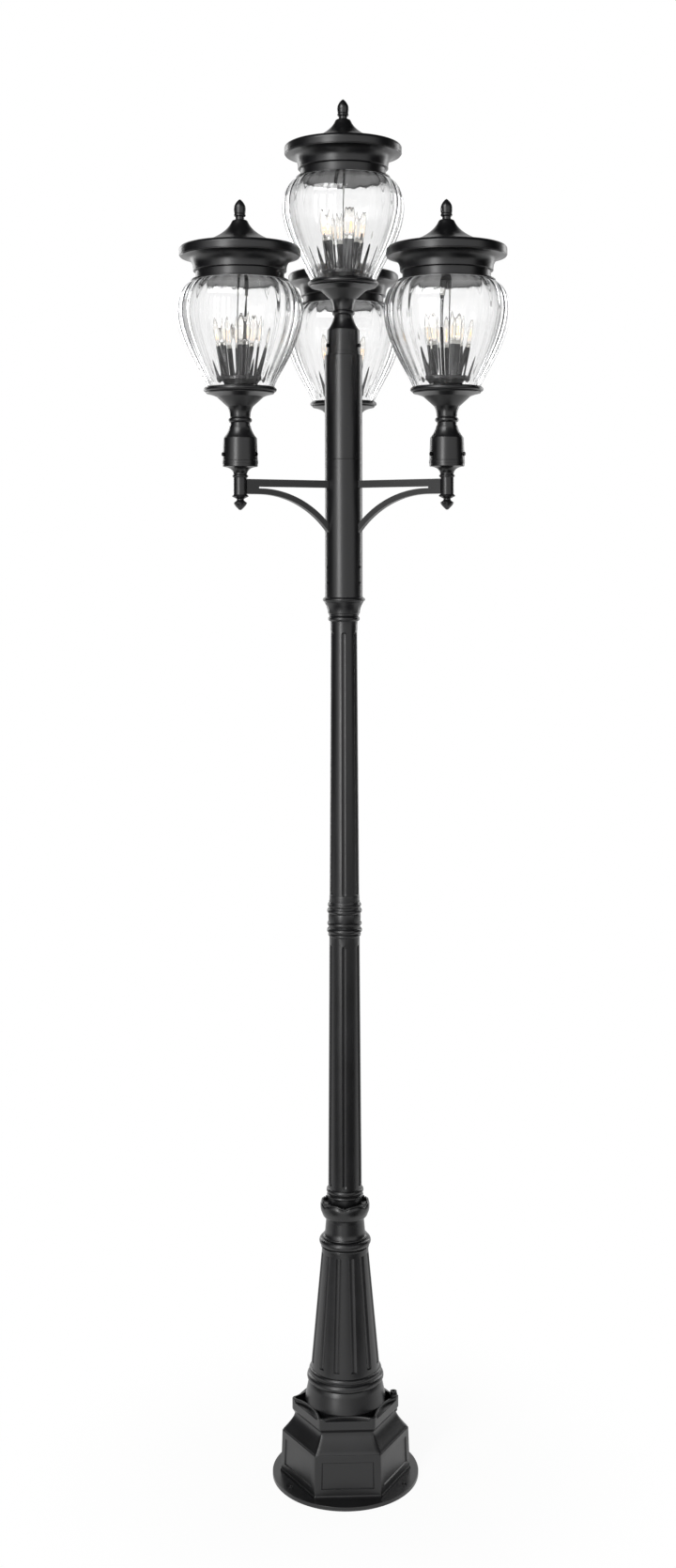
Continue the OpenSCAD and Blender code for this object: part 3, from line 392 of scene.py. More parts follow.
bmesh.ops.inset_individual(bm, faces=panels, thickness=PANEL_SLOPE * MM, depth=-PANEL_DEPTH * MM,
                            use_even_offset=True)
bmesh.ops.create_cone(bm, cap_ends=True, segments=40, radius1=LUG_R * MM, radius2=LUG_R * MM,
                      depth=(LUG_TOP - Z_GROOVE) * MM,
                      matrix=Matrix.Translation((LUG_X * MM, 0, (LUG_TOP + Z_GROOVE) / 2 * MM)))
swing(bm, BASE_TURN)
finish_piece(bm, "six_sided_base_cover", powder, "powder_coat", "post", "hex_base")

# Pedestal: one aluminium casting that drops onto the cover's ring. A plain drum, two rounded
# rings, a cone with twelve square-ended flutes, and a ringed neck.
FLUTE_STEPS = 8
CONE_FLUTES, CONE_STEPS, CONE_FLUTE_W, CONE_CUTTER = 12, 14, 15, 10
CONE_LOW, CONE_HIGH = (84.3, 270), (57.7, 551)
Z_FLUTE_LOW, Z_FLUTE_HIGH, Z_NECK_TOP = 281, 549, 627


def arc(x, z, r, start, end, steps=8):
    """Points along an arc in the upright plane, in millimetres, between two angles in degrees."""
    turns = [math.radians(start + (end - start) * i / steps) for i in range(steps + 1)]
    return [(x + r * math.cos(t), z + r * math.sin(t)) for t in turns]


def turned(outline, steps=96):
    """Spins a closed outline of (radius, height) points in millimetres round the upright axis."""
    bm = bmesh.new()
    verts = [bm.verts.new((radius * MM, 0, height * MM)) for radius, height in outline]
    edges = [bm.edges.new((a, b)) for a, b in zip(verts, verts[1:] + verts[:1]) if a.co.x + b.co.x > 0]
    bmesh.ops.spin(bm, geom=verts + edges, cent=(0, 0, 0), axis=(0, 0, 1), angle=math.tau, steps=steps,
                   use_merge=True)
    bmesh.ops.remove_doubles(bm, verts=bm.verts, dist=0.002 * MM)
    bmesh.ops.recalc_face_normals(bm, faces=bm.faces)
    return bm


def taper(low, high, heights):
    """Points on the straight side between two (radius, height) ends, at the given heights."""
    return [(low[0] + (high[0] - low[0]) * (z - low[1]) / (high[1] - low[1]), z) for z in heights]


def press_flutes(bm, low, high, z_low, z_high, count, steps, width, cutter, round_ends):
    """Presses flutes into a straight turned side, as deep as a round cutter leaves them."""
    sector, share, half = math.tau / count, FLUTE_STEPS / steps, width / 2
    lift = math.sqrt(cutter ** 2 - half ** 2)
    for v in bm.verts:
        radius, z = v.co.xy.length / MM, v.co.z / MM
        side = taper(low, high, [z])[0][0]
        if not z_low - 1 < z < z_high + 1 or abs(radius - side) > 0.05:
            continue
        past = half - min(z - z_low, z_high - z) if round_ends else 0
        past = min(max(past, 0), half)
        reach = max(math.sqrt(half ** 2 - past ** 2), 0.4)
        edge = math.asin(reach / side)
        angle = math.atan2(v.co.y, v.co.x) % math.tau
        middle = (math.floor(angle / sector + 0.001) + 0.5) * sector
        place = (angle - middle) / sector * 2
        depth = 0
        if abs(place) <= share + 0.001:
            across = place / share * reach
            turn = math.asin(across / side)
            if z_low <= z <= z_high:
                depth = math.sqrt(max(cutter ** 2 - across ** 2 - past ** 2, 0)) - lift
        else:
            turn = edge + (abs(place) - share) / (1 - share) * (sector / 2 - edge)
            turn = math.copysign(turn, place)
        v.co.x = (side - max(depth, 0)) * MM * math.cos(middle + turn)
        v.co.y = (side - max(depth, 0)) * MM * math.sin(middle + turn)


cone_rings = (Z_FLUTE_LOW - 0.4, Z_FLUTE_LOW + 0.4, 340, 415, 490, Z_FLUTE_HIGH - 0.4, Z_FLUTE_HIGH + 0.4)
side = (curve((99.5, Z_SEAT), (98, 200), (94.5, 214), (91.5, 229), steps=8)
        + arc(84.5, 244, 10, -65, 70, 12) + arc(82.3, 260, 7, -40, 75, 10)
        + [CONE_LOW] + taper(CONE_LOW, CONE_HIGH, cone_rings) + [CONE_HIGH, (57.7, 558)]
        + arc(56.9, 563.5, 2.6, -80, 80) + arc(53.7, 576.5, 10, -62, 66, 12) + [(56, 586)]
        + arc(53.2, 588.6, 2.4, -70, 75)
        + curve((53.4, 591.2), (50.6, 594), (49.2, 599), (48.9, 606), steps=8) + [(47, Z_NECK_TOP)])
bore = [(37.7, Z_NECK_TOP), (37.7, 593), (50.7, 551), (77.3, 270), (81, 230), (89, Z_SEAT)]
bm = turned(side + bore, CONE_FLUTES * CONE_STEPS)
press_flutes(bm, CONE_LOW, CONE_HIGH, Z_FLUTE_LOW, Z_FLUTE_HIGH, CONE_FLUTES, CONE_STEPS, CONE_FLUTE_W,
             CONE_CUTTER, False)
finish_piece(bm, "fluted_pedestal", powder, "powder_coat", "post", "pedestal")

# Petal collar: a cast cup on top of the neck, from which six arched petals stand up round the
# foot of the shaft. A bead follows each petal's edge and ends in a small ball on both sides.
PETALS, PETAL_STEPS = 6, 24
PETAL_RISE, Z_CROWN, Z_PETAL_FOOT, PETAL_H, PETAL_POWER = 5.5, 677.5, 655, 14, 2.4
BALL_R, BALL_OUT, BALL_TURN = 2.7, 56.4, math.radians(4.8)
side = ([(47, Z_NECK_TOP)] + curve((46.9, 634), (51.5, 635), (55.4, 638.5), (57.2, 646), steps=8)
        + curve((58.2, 648), (59.6, 651), (60.7, 655), (60.7, 661), steps=5)
        + [(60.6, 667), (59.4, 671.5), (57.3, 673.4)] + arc(56, 675, 2.4, -25, 170, 8))
bore = [(54.2, 673), (54, 668.5), (41.7, 665.5), (41.7, Z_NECK_TOP)]
bm = turned(side + bore, PETALS * PETAL_STEPS)
half_petal = math.pi / PETALS
for v in bm.verts:
    angle = (math.atan2(v.co.y, v.co.x) + half_petal) % (2 * half_petal) - half_petal
    across = min(abs(angle) / (half_petal - BALL_TURN), 1)
    upwards = min(max((v.co.z / MM - Z_PETAL_FOOT) / PETAL_H, 0), 1)
    v.co.z -= PETAL_RISE * across ** PETAL_POWER * MM * upwards
for cusp in range(PETALS):
    for turn in (-BALL_TURN, BALL_TURN):
        place = (Matrix.Rotation(math.radians(-90) + 2 * half_petal * cusp + turn, 4, "Z")
                 @ Matrix.Translation((BALL_OUT * MM, 0, (Z_CROWN - PETAL_RISE - 0.4) * MM)))
        bmesh.ops.create_icosphere(bm, subdivisions=2, radius=BALL_R * MM, matrix=place)
finish_piece(bm, "petal_collar_cup", powder, "powder_coat", "post", "petal_collar")

# Shafts: two tapered aluminium extrusions with six round-ended flutes each. The lower one has
# two foot rings above the petals, and a turned ring joins them.
SHAFT_FLUTES, SHAFT_STEPS = 6, 24
FLUTE_W, FLUTE_CUTTER = 13.5, 8.5
Z_MID, Z_UPPER, Z_COLLAR, SPIGOT = 1328, 1416, 2084, 40
LOWER_BORE, UPPER_BORE, RING_BORE = 32.1, 27.3, 21.3
round_end = [FLUTE_W / 2 * (1 - math.cos(math.radians(turn))) for turn in (0, 12, 26, 42, 60, 90)]


def flute_rings(z_low, z_high):
    """Heights of the rings that round off both ends of the flutes of a shaft."""
    middle = [z_low + (z_high - z_low) * i / 6 for i in range(1, 6)]
    return ([z_low - 0.5] + [z_low + step for step in round_end] + middle
            + [z_high - step for step in reversed(round_end)] + [z_high + 0.5])


low, high, z_low, z_high = (41.4, 713), (37.5, Z_MID), 714, 1310
side = ([(37.4, Z_NECK_TOP - SPIGOT), (37.4, Z_NECK_TOP), (41.4, Z_NECK_TOP)] + arc(41.4, 689, 4, -90, 80)
        + arc(38.8, 701.5, 7, -50, 70, 10) + [low] + taper(low, high, flute_rings(z_low, z_high)) + [high])
bm = turned(side + [(LOWER_BORE, Z_MID), (LOWER_BORE, Z_NECK_TOP - SPIGOT)], SHAFT_FLUTES * SHAFT_STEPS)
press_flutes(bm, low, high, z_low, z_high, SHAFT_FLUTES, SHAFT_STEPS, FLUTE_W, FLUTE_CUTTER, True)
finish_piece(bm, "lower_fluted_shaft", powder, "powder_coat", "post", "lower_shaft")

side = ([(31.8, Z_MID - SPIGOT), (31.8, Z_MID), (37.5, Z_MID)] + arc(36.7, 1332.5, 4, -60, 60, 6)
        + arc(36.5, 1343.5, 7, -70, 70, 10) + arc(37.7, 1360, 5, -70, 70, 10)
        + [(40, 1368), (40.3, 1380)] + arc(36.7, 1391.5, 6.5, -65, 65, 10)
        + arc(36.5, 1406, 5, -60, 60) + [(38.1, 1412.5), (38.1, Z_UPPER), (27, Z_UPPER),
                                            (27, Z_UPPER + SPIGOT)])
bore = [(RING_BORE, Z_UPPER + SPIGOT), (RING_BORE, Z_MID - SPIGOT)]
finish_piece(turned(side + bore), "turned_middle_ring", powder, "powder_coat", "post", "mid_ring")

low, high, z_low, z_high = (36.6, 1430), (32.7, Z_COLLAR), 1431, 2081
side = [(37.2, Z_UPPER), (37.2, 1428), low] + taper(low, high, flute_rings(z_low, z_high)) + [high]
bm = turned(side + [(UPPER_BORE, Z_COLLAR), (UPPER_BORE, Z_UPPER)], SHAFT_FLUTES * SHAFT_STEPS)
press_flutes(bm, low, high, z_low, z_high, SHAFT_FLUTES, SHAFT_STEPS, FLUTE_W, FLUTE_CUTTER, True)
finish_piece(bm, "upper_fluted_shaft", powder, "powder_coat", "post", "upper_shaft")

# Post head: a turned collar flares out to a plain tube that carries the arms. A second tube
# stands on it and ends in the tenon of the top lantern. Grub screws hold the joint below.
Z_HEAD, Z_JOINT, Z_TOP_LANTERN = 2169, 2507, 2765
HEAD_R, HEAD_BORE, HEAD_SPIGOT_R, Z_HEAD_SPIGOT = 46.4, 41.4, 41.1, 2251
TENON_R, TENON_BORE, TENON_H = 38.1, 33.1, 55
side = ([(27, Z_COLLAR - SPIGOT), (27, Z_COLLAR), (33.4, Z_COLLAR), (33.4, 2098)]
        + arc(33.2, 2113, 6, -80, 75, 10) + [(37.3, 2122), (37.3, 2125), (39.5, 2127)]
        + curve((39.6, 2128), (41.2, 2142), (44.7, 2148), (48.4, 2154), steps=8)
        + arc(48.1, 2160.5, 4.5, -85, 80)
        + [(46.8, 2167), (46.8, Z_HEAD), (HEAD_SPIGOT_R, Z_HEAD), (HEAD_SPIGOT_R, Z_HEAD_SPIGOT)])
bore = [(33.4, Z_HEAD_SPIGOT), (33.4, Z_HEAD), (RING_BORE, 2124), (RING_BORE, Z_COLLAR - SPIGOT)]
finish_piece(turned(side + bore), "flared_head_collar", powder, "powder_coat", "post", "top_collar")

side = [(HEAD_R, Z_HEAD), (HEAD_R, Z_JOINT - 0.6), (HEAD_R - 0.6, Z_JOINT)]
finish_piece(turned(side + [(HEAD_BORE, Z_JOINT), (HEAD_BORE, Z_HEAD)]), "plain_head_tube", powder,
             "powder_coat", "post", "head_tube")
side = [(HEAD_SPIGOT_R, Z_JOINT - SPIGOT), (HEAD_SPIGOT_R, Z_JOINT), (HEAD_R - 0.6, Z_JOINT),
        (HEAD_R, Z_JOINT + 0.6), (HEAD_R, Z_TOP_LANTERN - 1), (HEAD_R - 1, Z_TOP_LANTERN),
        (TENON_R, Z_TOP_LANTERN), (TENON_R, Z_TOP_LANTERN + TENON_H)]
bore = [(TENON_BORE, Z_TOP_LANTERN + TENON_H), (TENON_BORE, Z_JOINT - SPIGOT)]
finish_piece(turned(side + bore), "plain_top_tube", powder, "powder_coat", "post", "top_tube")

# Black oxide on steel screws: the bare steel is blackened in a salt bath and oiled, so it is a
# near-black metal with a soft shine, a little greyer where the bath took less.
oxide = bpy.data.materials.new("black_oxide_steel")
tree = blank_tree(oxide)
spot = add(tree, "ShaderNodeTexCoord")
grain = add(tree, "ShaderNodeTexNoise", {"Vector": spot.outputs["Object"], "Scale": 1 / (3 * MM),
                                         "Detail": 3.0, "Roughness": 0.6})
tint = add(tree, "ShaderNodeValToRGB", {0: grain.outputs[0]})
tint.color_ramp.elements[0].color = colour("#151516")
tint.color_ramp.elements[0].position = 0.35
tint.color_ramp.elements[1].color = colour("#29292a")
tint.color_ramp.elements[1].position = 0.65
rough = add(tree, "ShaderNodeMapRange", {"Value": grain.outputs[0], "To Min": 0.28, "To Max": 0.42})
steel = add(tree, "ShaderNodeBsdfPrincipled", {"Base Color": tint.outputs[0], "Metallic": 1.0,
                                               "Roughness": rough.outputs[0]})
add(tree, "ShaderNodeOutputMaterial", {"Surface": steel.outputs[0]})


def refinish(node, finish):
    """Gives a node that stays as it is a better material."""
    for material_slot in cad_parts[node].material_slots:
        material_slot.material = finish


refinish("post_screws", oxide)

# Arms: three welded brackets of flat bar and arched bar. An upright at the end of each ends in
# a cup plate and the tenon of its lantern, and a pointed drop is screwed into it from below.
REACH, BAR_W = 286, 16
BAR_END = REACH - 10
Z_BAR_LOW, Z_BAR_TOP = 2436, 2454
BRACE_X, BRACE_Z, BRACE_OUT, BRACE_IN, BRACE_TURN = 235, 2177, 255, 241, 54
Z_UPRIGHT, Z_STUD, Z_SIDE_LANTERN = 2416, 2427, 2490
UPRIGHT_R, CUP_R, WIRE_R, STUD_R = 16.2, 42, 6.5, 5.3


def beam(bm, x0, x1, z0, z1):
    """Adds a straight bar of the arm's width between two distances and two heights."""
    middle = Matrix.Translation(((x0 + x1) / 2 * MM, 0, (z0 + z1) / 2 * MM))
    size = Matrix.Diagonal(((x1 - x0) * MM, BAR_W * MM, (z1 - z0) * MM, 1))
    bmesh.ops.create_cube(bm, size=1, matrix=middle @ size)


def shift(bm, x=0, y=0, z=0):
    """Moves all of a mesh by millimetres."""
    bmesh.ops.translate(bm, verts=bm.verts, vec=(x * MM, y * MM, z * MM))


def join(bm, other):
    """Adds a second mesh to the first, and frees it."""
    mesh = bpy.data.meshes.new("joined")
    other.to_mesh(mesh)
    other.free()
    bm.from_mesh(mesh)
    bpy.data.meshes.remove(mesh)


side = ([(UPRIGHT_R, Z_UPRIGHT), (UPRIGHT_R, 2458)] + arc(UPRIGHT_R, 2460.5, 3, -80, 80)
        + curve((UPRIGHT_R, 2464), (16.8, 2474), (23.7, 2481.5), (CUP_R - 1, 2483))
        + [(CUP_R, 2484), (CUP_R, Z_SIDE_LANTERN), (TENON_R, Z_SIDE_LANTERN),
           (TENON_R, Z_SIDE_LANTERN + TENON_H)])
bore = [(TENON_BORE, Z_SIDE_LANTERN + TENON_H), (TENON_BORE, 2496), (WIRE_R, 2484), (WIRE_R, 2439),
        (0, 2439), (0, Z_STUD), (STUD_R, Z_STUD), (STUD_R, Z_UPRIGHT)]
for name, turn in ARM_TURNS.items():
    bm = bmesh.new()
    beam(bm, HEAD_R - 0.8, BAR_END, Z_BAR_LOW, Z_BAR_TOP)
    beam(bm, BRACE_X, BAR_END, BRACE_Z + BRACE_IN, BRACE_Z + BRACE_OUT)
    beam(bm, BRACE_X + 4, BAR_END, BRACE_Z + BRACE_OUT - 1, Z_BAR_LOW + 1)
    end = bm.faces.new([bm.verts.new((BRACE_X * MM, y * BAR_W / 2 * MM, (BRACE_Z + r) * MM))
                        for y, r in ((-1, BRACE_OUT), (1, BRACE_OUT), (1, BRACE_IN), (-1, BRACE_IN))])
    bmesh.ops.spin(bm, geom=[end], cent=(BRACE_X * MM, 0, BRACE_Z * MM), axis=(0, 1, 0),
                   angle=-math.radians(BRACE_TURN), steps=36)
    bmesh.ops.bisect_plane(bm, geom=bm.verts[:] + bm.edges[:] + bm.faces[:],
                           plane_co=((HEAD_R - 1.2) * MM, 0, 0), plane_no=(-1, 0, 0), clear_outer=True)
    bmesh.ops.holes_fill(bm, edges=[e for e in bm.edges if e.is_boundary])
    bmesh.ops.remove_doubles(bm, verts=bm.verts, dist=0.01 * MM)
    bmesh.ops.recalc_face_normals(bm, faces=bm.faces)
    soften(bm, 0.8)
    upright = turned(side + bore, 72)
    shift(upright, x=REACH)
    join(bm, upright)
    swing(bm, turn)
    finish_piece(bm, f"{name}_bracket_arm", powder, "powder_coat", "post", f"{name}_arm")

side = ([(0, 2379), (3.24, 2380.1)]
        + curve((3.6, 2380.5), (9.1, 2386), (14.2, 2390.1), (UPRIGHT_R, 2396), steps=8) + [(15.2, 2397.9)]
        + curve((13.2, 2399), (9, 2401.9), (8, 2403.8), (9, 2406), steps=6)
        + [(19.7, 2411.5), (20.2, 2412.5), (17.2, Z_UPRIGHT), (5, Z_UPRIGHT), (5, Z_STUD), (0, Z_STUD)])
bm = bmesh.new()
for turn in ARM_TURNS.values():
    drop = turned(side, 64)
    shift(drop, x=REACH)
    swing(drop, turn)
    join(bm, drop)
finish_piece(bm, "pointed_drops", powder, "powder_coat", "post", "drop_finials")

# Lanterns: four alike, one on the post head and one at the end of each arm. Each is built up
# from its fitter, and all its heights are above the foot of that fitter.
LANTERNS = {"top": (0, 0, Z_TOP_LANTERN)}
for name, turn in ARM_TURNS.items():
    LANTERNS[name] = (REACH * math.cos(math.radians(turn)), REACH * math.sin(math.radians(turn)),
                      Z_SIDE_LANTERN)


def at_lantern(bm, name):
    """Moves a piece made at the origin up to the foot of its lantern."""
    shift(bm, *LANTERNS[name])
    return bm


# Fitter: a cast bell that slips over the tenon and is clamped by three cap screws. A band
# rings its mouth, and its shoulder draws in to the bead under the dish.
side = ([(42.85, 0.3), (42.85, 7), (42.05, 8), (40.25, 61)]
        + curve((39.25, 62.5), (32.25, 70), (26.3, 83), (25.3, 91)))
bore = [(15.3, 91), (15.3, 71), (30, 59), (38.4, 56), (38.4, 0.3)]
for name in LANTERNS:
    finish_piece(at_lantern(turned(side + bore), name), f"bell_fitter_{name}", powder, "powder_coat",
                 f"{name}_lantern", f"{name}_fitter")
    refinish(f"{name}_set_screws", oxide)

# Dish: a spun pan on a turned bead, with a stepped rim that holds the foot of the glass.
side = ([(15, 81), (15, 91), (23.7, 91), (23.7, 97)] + arc(22.3, 104.5, 6, -80, 80, 10)
        + curve((24.5, 113), (24.5, 140), (44.84, 160), (75.6, 167), steps=14)
        + [(77.6, 167.5), (80.6, 168), (82.1, 170), (81.1, 172)] + arc(82.6, 177, 5, -75, 70, 10)
        + [(83.6, 183), (81.42, 183), (81.42, 178), (4.3, 178), (4.3, 175), (72.6, 175), (12, 120), (12, 81)])
for name in LANTERNS:
    finish_piece(at_lantern(turned(side), name), f"glass_dish_{name}", powder, "powder_coat",
                 f"{name}_lantern", f"{name}_dish")

# Candle cluster: a pressed pan on the dish carries four black tubes. A lampholder stands in
# each tube, and its bright collar grips the bulb.
CANDLE_R, CANDLE_TURN = 44, 21


def four_candles(outline, steps=40):
    """Turns an outline and sets it four times on the candles' circle."""
    one = turned(outline, steps)
    shift(one, x=CANDLE_R)
    swing(one, CANDLE_TURN)
    bmesh.ops.spin(one, geom=one.verts[:] + one.edges[:] + one.faces[:], cent=(0, 0, 0), axis=(0, 0, 1),
                   angle=math.radians(270), steps=3, use_duplicate=True)
    return one


# Turned nickel-plated steel: a light, slightly warm metal with fine rings from the lathe,
# 0.3 mm apart, drawn at 1 mm so that they show.
bright = bpy.data.materials.new("nickel_plated_steel")
tree = blank_tree(bright)
spot = add(tree, "ShaderNodeTexCoord")
rings = add(tree, "ShaderNodeTexWave", {"Vector": spot.outputs["Object"], "Scale": 0.5 / (1 * MM) / math.pi,
                                        "Distortion": 0.6, "Detail": 2.0}, bands_direction="Z")
tint = add(tree, "ShaderNodeValToRGB", {0: rings.outputs[1]})
tint.color_ramp.elements[0].color = colour("#a9a8a4")
tint.color_ramp.elements[1].color = colour("#c9c8c3")
rough = add(tree, "ShaderNodeMapRange", {"Value": rings.outputs[1], "To Min": 0.26, "To Max": 0.36})
nickel = add(tree, "ShaderNodeBsdfPrincipled", {"Base Color": tint.outputs[0], "Metallic": 1.0,
                                                "Roughness": rough.outputs[0]})
add(tree, "ShaderNodeOutputMaterial", {"Surface": nickel.outputs[0]})

pan = ([(38, 178), (39, 190)] + curve((40, 192), (44, 197), (58.5, 195), (58.5, 200), steps=8)
       + [(58.5, 205), (58, 206.4), (56.5, 207), (4.3, 207), (4.3, 204), (55.5, 204), (55.5, 200),
          (36, 193), (35, 178)])
tube = [(12.5, 207), (12.5, 280.4), (11.9, 281), (10.5, 281), (10.5, 207)]
holder = [(0, 207), (10.2, 207), (10.2, 281), (11.3, 281), (11.3, 288), (10.3, 289), (8, 289), (8, 263),
          (0, 263)]
for name in LANTERNS:
    body = f"{name}_lantern"
    finish_piece(at_lantern(turned(pan), name), f"candle_pan_{name}", powder, "powder_coat", body,
                 f"{name}_cluster")
    finish_piece(at_lantern(four_candles(tube), name), f"candle_tubes_{name}", powder, "powder_coat", body,
                 f"{name}_candles")
    finish_piece(at_lantern(four_candles(holder), name), f"lampholders_{name}", bright, "bright_steel", body,
                 f"{name}_sockets")

# Bulbs: clear blown flames with a pointed tip, and two glowing filament strands upright in
# each. The glass is drawn with both its walls, 1 mm apart.
bulb_glass = bpy.data.materials.new("clear_blown_bulb_glass")
tree = blank_tree(bulb_glass)
# Painted shade: the glass colour runs from near white where it faces the viewer to dark grey-brown at its
# outline, which paints a dark rim on each bulb.
facing = add(tree, "ShaderNodeLayerWeight", {"Blend": 0.35})
tint = add(tree, "ShaderNodeValToRGB", {0: facing.outputs["Facing"]})
tint.color_ramp.elements[0].color = colour("#fffefc")
tint.color_ramp.elements[0].position = 0.25
tint.color_ramp.elements[1].color = colour("#5a544c")
tint.color_ramp.elements[1].position = 0.65
clear = add(tree, "ShaderNodeBsdfPrincipled", {"Base Color": tint.outputs[0], "Roughness": 0.02,
                                               "IOR": 1.45, "Transmission Weight": 1.0})
add(tree, "ShaderNodeOutputMaterial", {"Surface": clear.outputs[0]})

# Lit carbon filament: it glows amber, with paler stretches where the current heats it more.
filament = bpy.data.materials.new("glowing_filament")
tree = blank_tree(filament)
spot = add(tree, "ShaderNodeTexCoord")
coil = add(tree, "ShaderNodeTexNoise", {"Vector": spot.outputs["Object"], "Scale": 1 / (6 * MM)})
tint = add(tree, "ShaderNodeValToRGB", {0: coil.outputs[0]})
tint.color_ramp.elements[0].color = colour("#ffb45a")
tint.color_ramp.elements[0].position = 0.35
tint.color_ramp.elements[1].color = colour("#ffe0a0")
tint.color_ramp.elements[1].position = 0.65
hot = add(tree, "ShaderNodeBsdfPrincipled", {"Base Color": tint.outputs[0], "Roughness": 0.5,
                                             "Emission Color": tint.outputs[0], "Emission Strength": 1.7})
add(tree, "ShaderNodeOutputMaterial", {"Surface": hot.outputs[0]})

flame = ([(7.7, 269), (7.7, 289)] + curve((8.2, 291), (16.5, 296), (17.5, 304.4), (17.5, 312.4), steps=9)
         + curve((17.5, 314), (17.5, 332.3), (7.9, 347.2), (2.1, 359), steps=12) + [(0, 360)])
inside = ([(0, 356)] + curve((1.2, 355), (7, 344.5), (16.5, 331.5), (16.5, 314), steps=12)
          + curve((16.5, 312.4), (16.5, 304.9), (15.5, 296.8), (7.2, 291.4), steps=9)
          + [(6.7, 289), (6.7, 269)])
STRAND_OUT, STRAND_R = 3.2, 0.5
strand = [(0, 297), (STRAND_R, 297.4), (STRAND_R, 325.6), (0, 326)]
for name in LANTERNS:
    body = f"{name}_lantern"
    finish_piece(at_lantern(four_candles(flame + inside, 32), name), f"flame_bulbs_{name}", bulb_glass,
                 "bulb_glass", body, f"{name}_bulbs")
    bm = bmesh.new()
    for side_step in (-STRAND_OUT, STRAND_OUT):
        strands = four_candles(strand, 8)
        shift(strands, x=side_step)
        join(bm, strands)
    finish_piece(at_lantern(bm, name), f"bulb_filaments_{name}", filament, "bulb_glass", body)

# Rod: a threaded steel rod draws the cap down onto the glass. A hexagon nut holds it under
# the dish, and a bright coupling nut joins it to the boss of the cap.
ROD_R, ROD_FOOT, ROD_TOP = 4, 156, 606


def add_nut(bm, radius, height, z):
    """Adds a hexagon nut round the upright axis, with its middle at a height."""
    bmesh.ops.create_cone(bm, cap_ends=True, segments=6, radius1=radius * MM, radius2=radius * MM,
                          depth=height * MM, matrix=Matrix.Translation((0, 0, z * MM)) @ hexagon)


for name in LANTERNS:
    bm = turned([(0, ROD_FOOT), (ROD_R, ROD_FOOT), (ROD_R, ROD_TOP), (0, ROD_TOP)], 32)
    add_nut(bm, 8, 7, 171.5)
    soften(bm, 0.4)
    finish_piece(at_lantern(bm, name), f"threaded_rod_{name}", oxide, "bright_steel", f"{name}_lantern",
                 f"{name}_rod")
    bm = bmesh.new()
    add_nut(bm, 6.8, 16, 410)
    soften(bm, 0.6)
    finish_piece(at_lantern(bm, name), f"coupling_nut_{name}", bright, "bright_steel", f"{name}_lantern")

# Glass: a clear urn blown into a ribbed mould and cut off at the mouth. Thirty ribs stand up
# on its outside, and lean a little to one side where the neck was drawn in. Smooth inside.
RIBS, RIB_STEPS, RIB_DEPTH, RIB_FADE = 30, 10, 2.0, 8
RIB_LEAN, LEAN_FROM, LEAN_POWER = 7, 0.55, 1.5
Z_GLASS, Z_MOUTH = 178, 436
crystal = bpy.data.materials.new("clear_ribbed_glass")
tree = blank_tree(crystal)
# Painted shade: the glass colour runs from near white where it faces the viewer to grey at its outline and on
# the rib flanks, which paints dark edges and rib streaks on the urn.
facing = add(tree, "ShaderNodeLayerWeight", {"Blend": 0.5})
tint = add(tree, "ShaderNodeValToRGB", {0: facing.outputs["Facing"]})
tint.color_ramp.elements[0].color = colour("#fdfdfd")
tint.color_ramp.elements[0].position = 0.4
tint.color_ramp.elements[1].color = colour("#6f7376")
tint.color_ramp.elements[1].position = 0.95
clear = add(tree, "ShaderNodeBsdfPrincipled", {"Base Color": tint.outputs[0], "Roughness": 0.015,
                                               "IOR": 1.46, "Transmission Weight": 1.0})
add(tree, "ShaderNodeOutputMaterial", {"Surface": clear.outputs[0]})

outer = (curve((79, Z_GLASS), (95, 221.9), (146.5, 283.8), (151.5, 358.6), steps=18)
         + curve((151.5, 361), (151.5, 394.7), (140.5, 425.7), (113, Z_MOUTH), steps=14))
inner = (curve((109.5, Z_MOUTH), (137, 425.7), (148, 394.7), (148, 361), steps=12)
         + curve((148, 358.6), (143, 283.8), (91.5, 221.9), (75.5, Z_GLASS), steps=16))
for name in LANTERNS:
    bm = turned(outer + inner, RIBS * RIB_STEPS)
    for v in bm.verts:
        radius, z = v.co.xy.length / MM, v.co.z / MM
        rise = (z - Z_GLASS) / (Z_MOUTH - Z_GLASS)
        across = min(math.hypot(radius - r, z - h) for r, h in outer)
        if across < 0.01:
            angle = math.atan2(v.co.y, v.co.x)
            rib = RIB_DEPTH * (0.5 - 0.5 * math.cos(RIBS * angle)) * min(rise * RIB_FADE, 1)
            lean = math.radians(RIB_LEAN) * max(rise - LEAN_FROM, 0) ** LEAN_POWER
            v.co.xy = Vector((math.cos(angle + lean), math.sin(angle + lean))) * (radius - rib) * MM
    finish_piece(at_lantern(bm, name), f"ribbed_urn_{name}", crystal, "ribbed_glass", f"{name}_lantern",
                 f"{name}_glass")

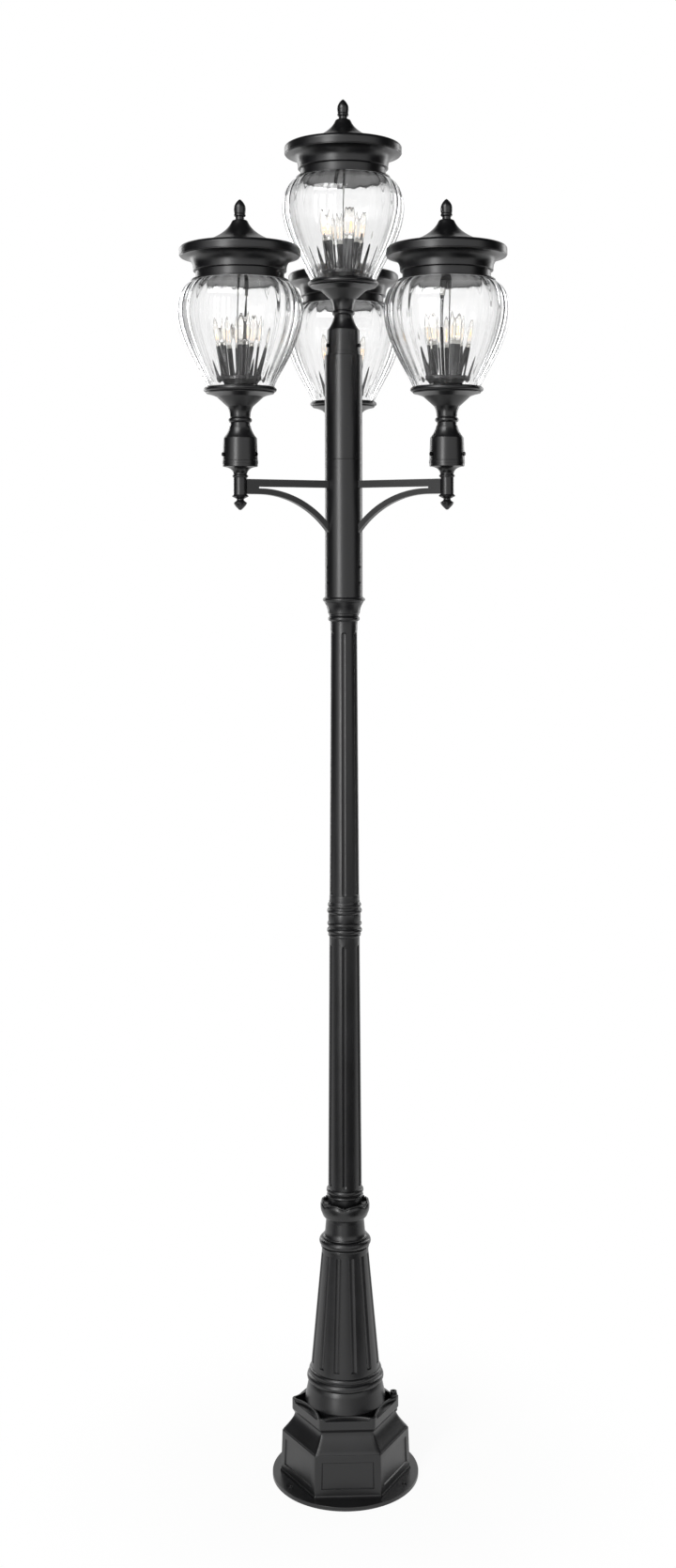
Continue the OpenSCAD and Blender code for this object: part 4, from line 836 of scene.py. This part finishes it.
# Cap: spun from aluminium sheet, with a banded neck, a wide brim and a concave roof. A pan
# closes it from below, and the rod passes through a boss in that pan.
side = ([(117, 436.3), (117, 438.6), (116.4, 439.3), (106, 441.3), (106, 458.3), (111.4, 460.1),
         (112, 460.9), (112, 466.3)]
        + curve((112, 467.3), (113, 483.3), (124.3, 493.8), (140.3, 494.3))
        + [(142.8, 494.8), (143.3, 495.6), (143.3, 496.8), (144.8, 497.3), (145.3, 498.3), (145.3, 509.8)]
        + curve((145.3, 512.8), (143.3, 517.3), (139.8, 519.8), (135.3, 520.8), steps=6)
        + curve((131.3, 521.3), (88.6, 524), (33.4, 546.8), (19.5, 579.8), steps=20)
        + curve((19, 580.6), (18, 582.3), (15.5, 583.9), (11.5, 584.3), steps=5))
under = ([(4.3, 584.3), (4.3, 579.3)] + curve((17, 576), (30.9, 544.3), (86.1, 521.5), (128.8, 518.8))
         + curve((132.8, 518.3), (137.3, 517.3), (140.8, 514.8), (142.8, 511.8), steps=5)
         + [(142.8, 509.8), (142.8, 500.3)]
         + curve((139.3, 498.3), (122.3, 496.3), (111, 485.3), (109.5, 468.3))
         + [(109.5, 467.3), (103.5, 462.3), (103.5, 441.3), (4.3, 439.3), (4.3, 418.3), (10, 418.3),
            (10, 436.3)])
for name in LANTERNS:
    finish_piece(at_lantern(turned(side + under), name), f"spun_cap_{name}", powder, "powder_coat",
                 f"{name}_lid", f"{name}_cap")

# Finial: a turned acorn nut on a ringed foot. It is screwed on the rod and holds the cap down.
side = ([(4.3, 584.45), (10.5, 584.45), (10.5, 590.95)] + arc(10.35, 595.15, 3.9, -70, 60)
        + curve((13.05, 599.15), (14.6, 603.9), (15.1, 613.8), (12.25, 619.6), steps=10)
        + curve((11.65, 620.8), (9.65, 624.75), (6.95, 628.7), (3, 632), steps=8)
        + [(1, 633.3), (0, 633.3), (0, 609.3), (4.3, 609.3)])
for name in LANTERNS:
    finish_piece(at_lantern(turned(side, 64), name), f"acorn_finial_{name}", powder, "powder_coat",
                 f"{name}_nut", f"{name}_finial")

# Wires: insulated copper leads run up inside the post and the arms. None of them shows.
lead = bpy.data.materials.new("pvc_wire_insulation")
tree = blank_tree(lead)
spot = add(tree, "ShaderNodeTexCoord")
scuffs = add(tree, "ShaderNodeTexNoise", {"Vector": spot.outputs["Object"], "Scale": 1 / (12 * MM)})
tint = add(tree, "ShaderNodeValToRGB", {0: scuffs.outputs[0]})
tint.color_ramp.elements[0].color = colour("#5c2a22")
tint.color_ramp.elements[1].color = colour("#74352a")
skin = add(tree, "ShaderNodeBsdfPrincipled", {"Base Color": tint.outputs[0], "Roughness": 0.45, "IOR": 1.53})
add(tree, "ShaderNodeOutputMaterial", {"Surface": skin.outputs[0]})
refinish("supply_wires", lead)
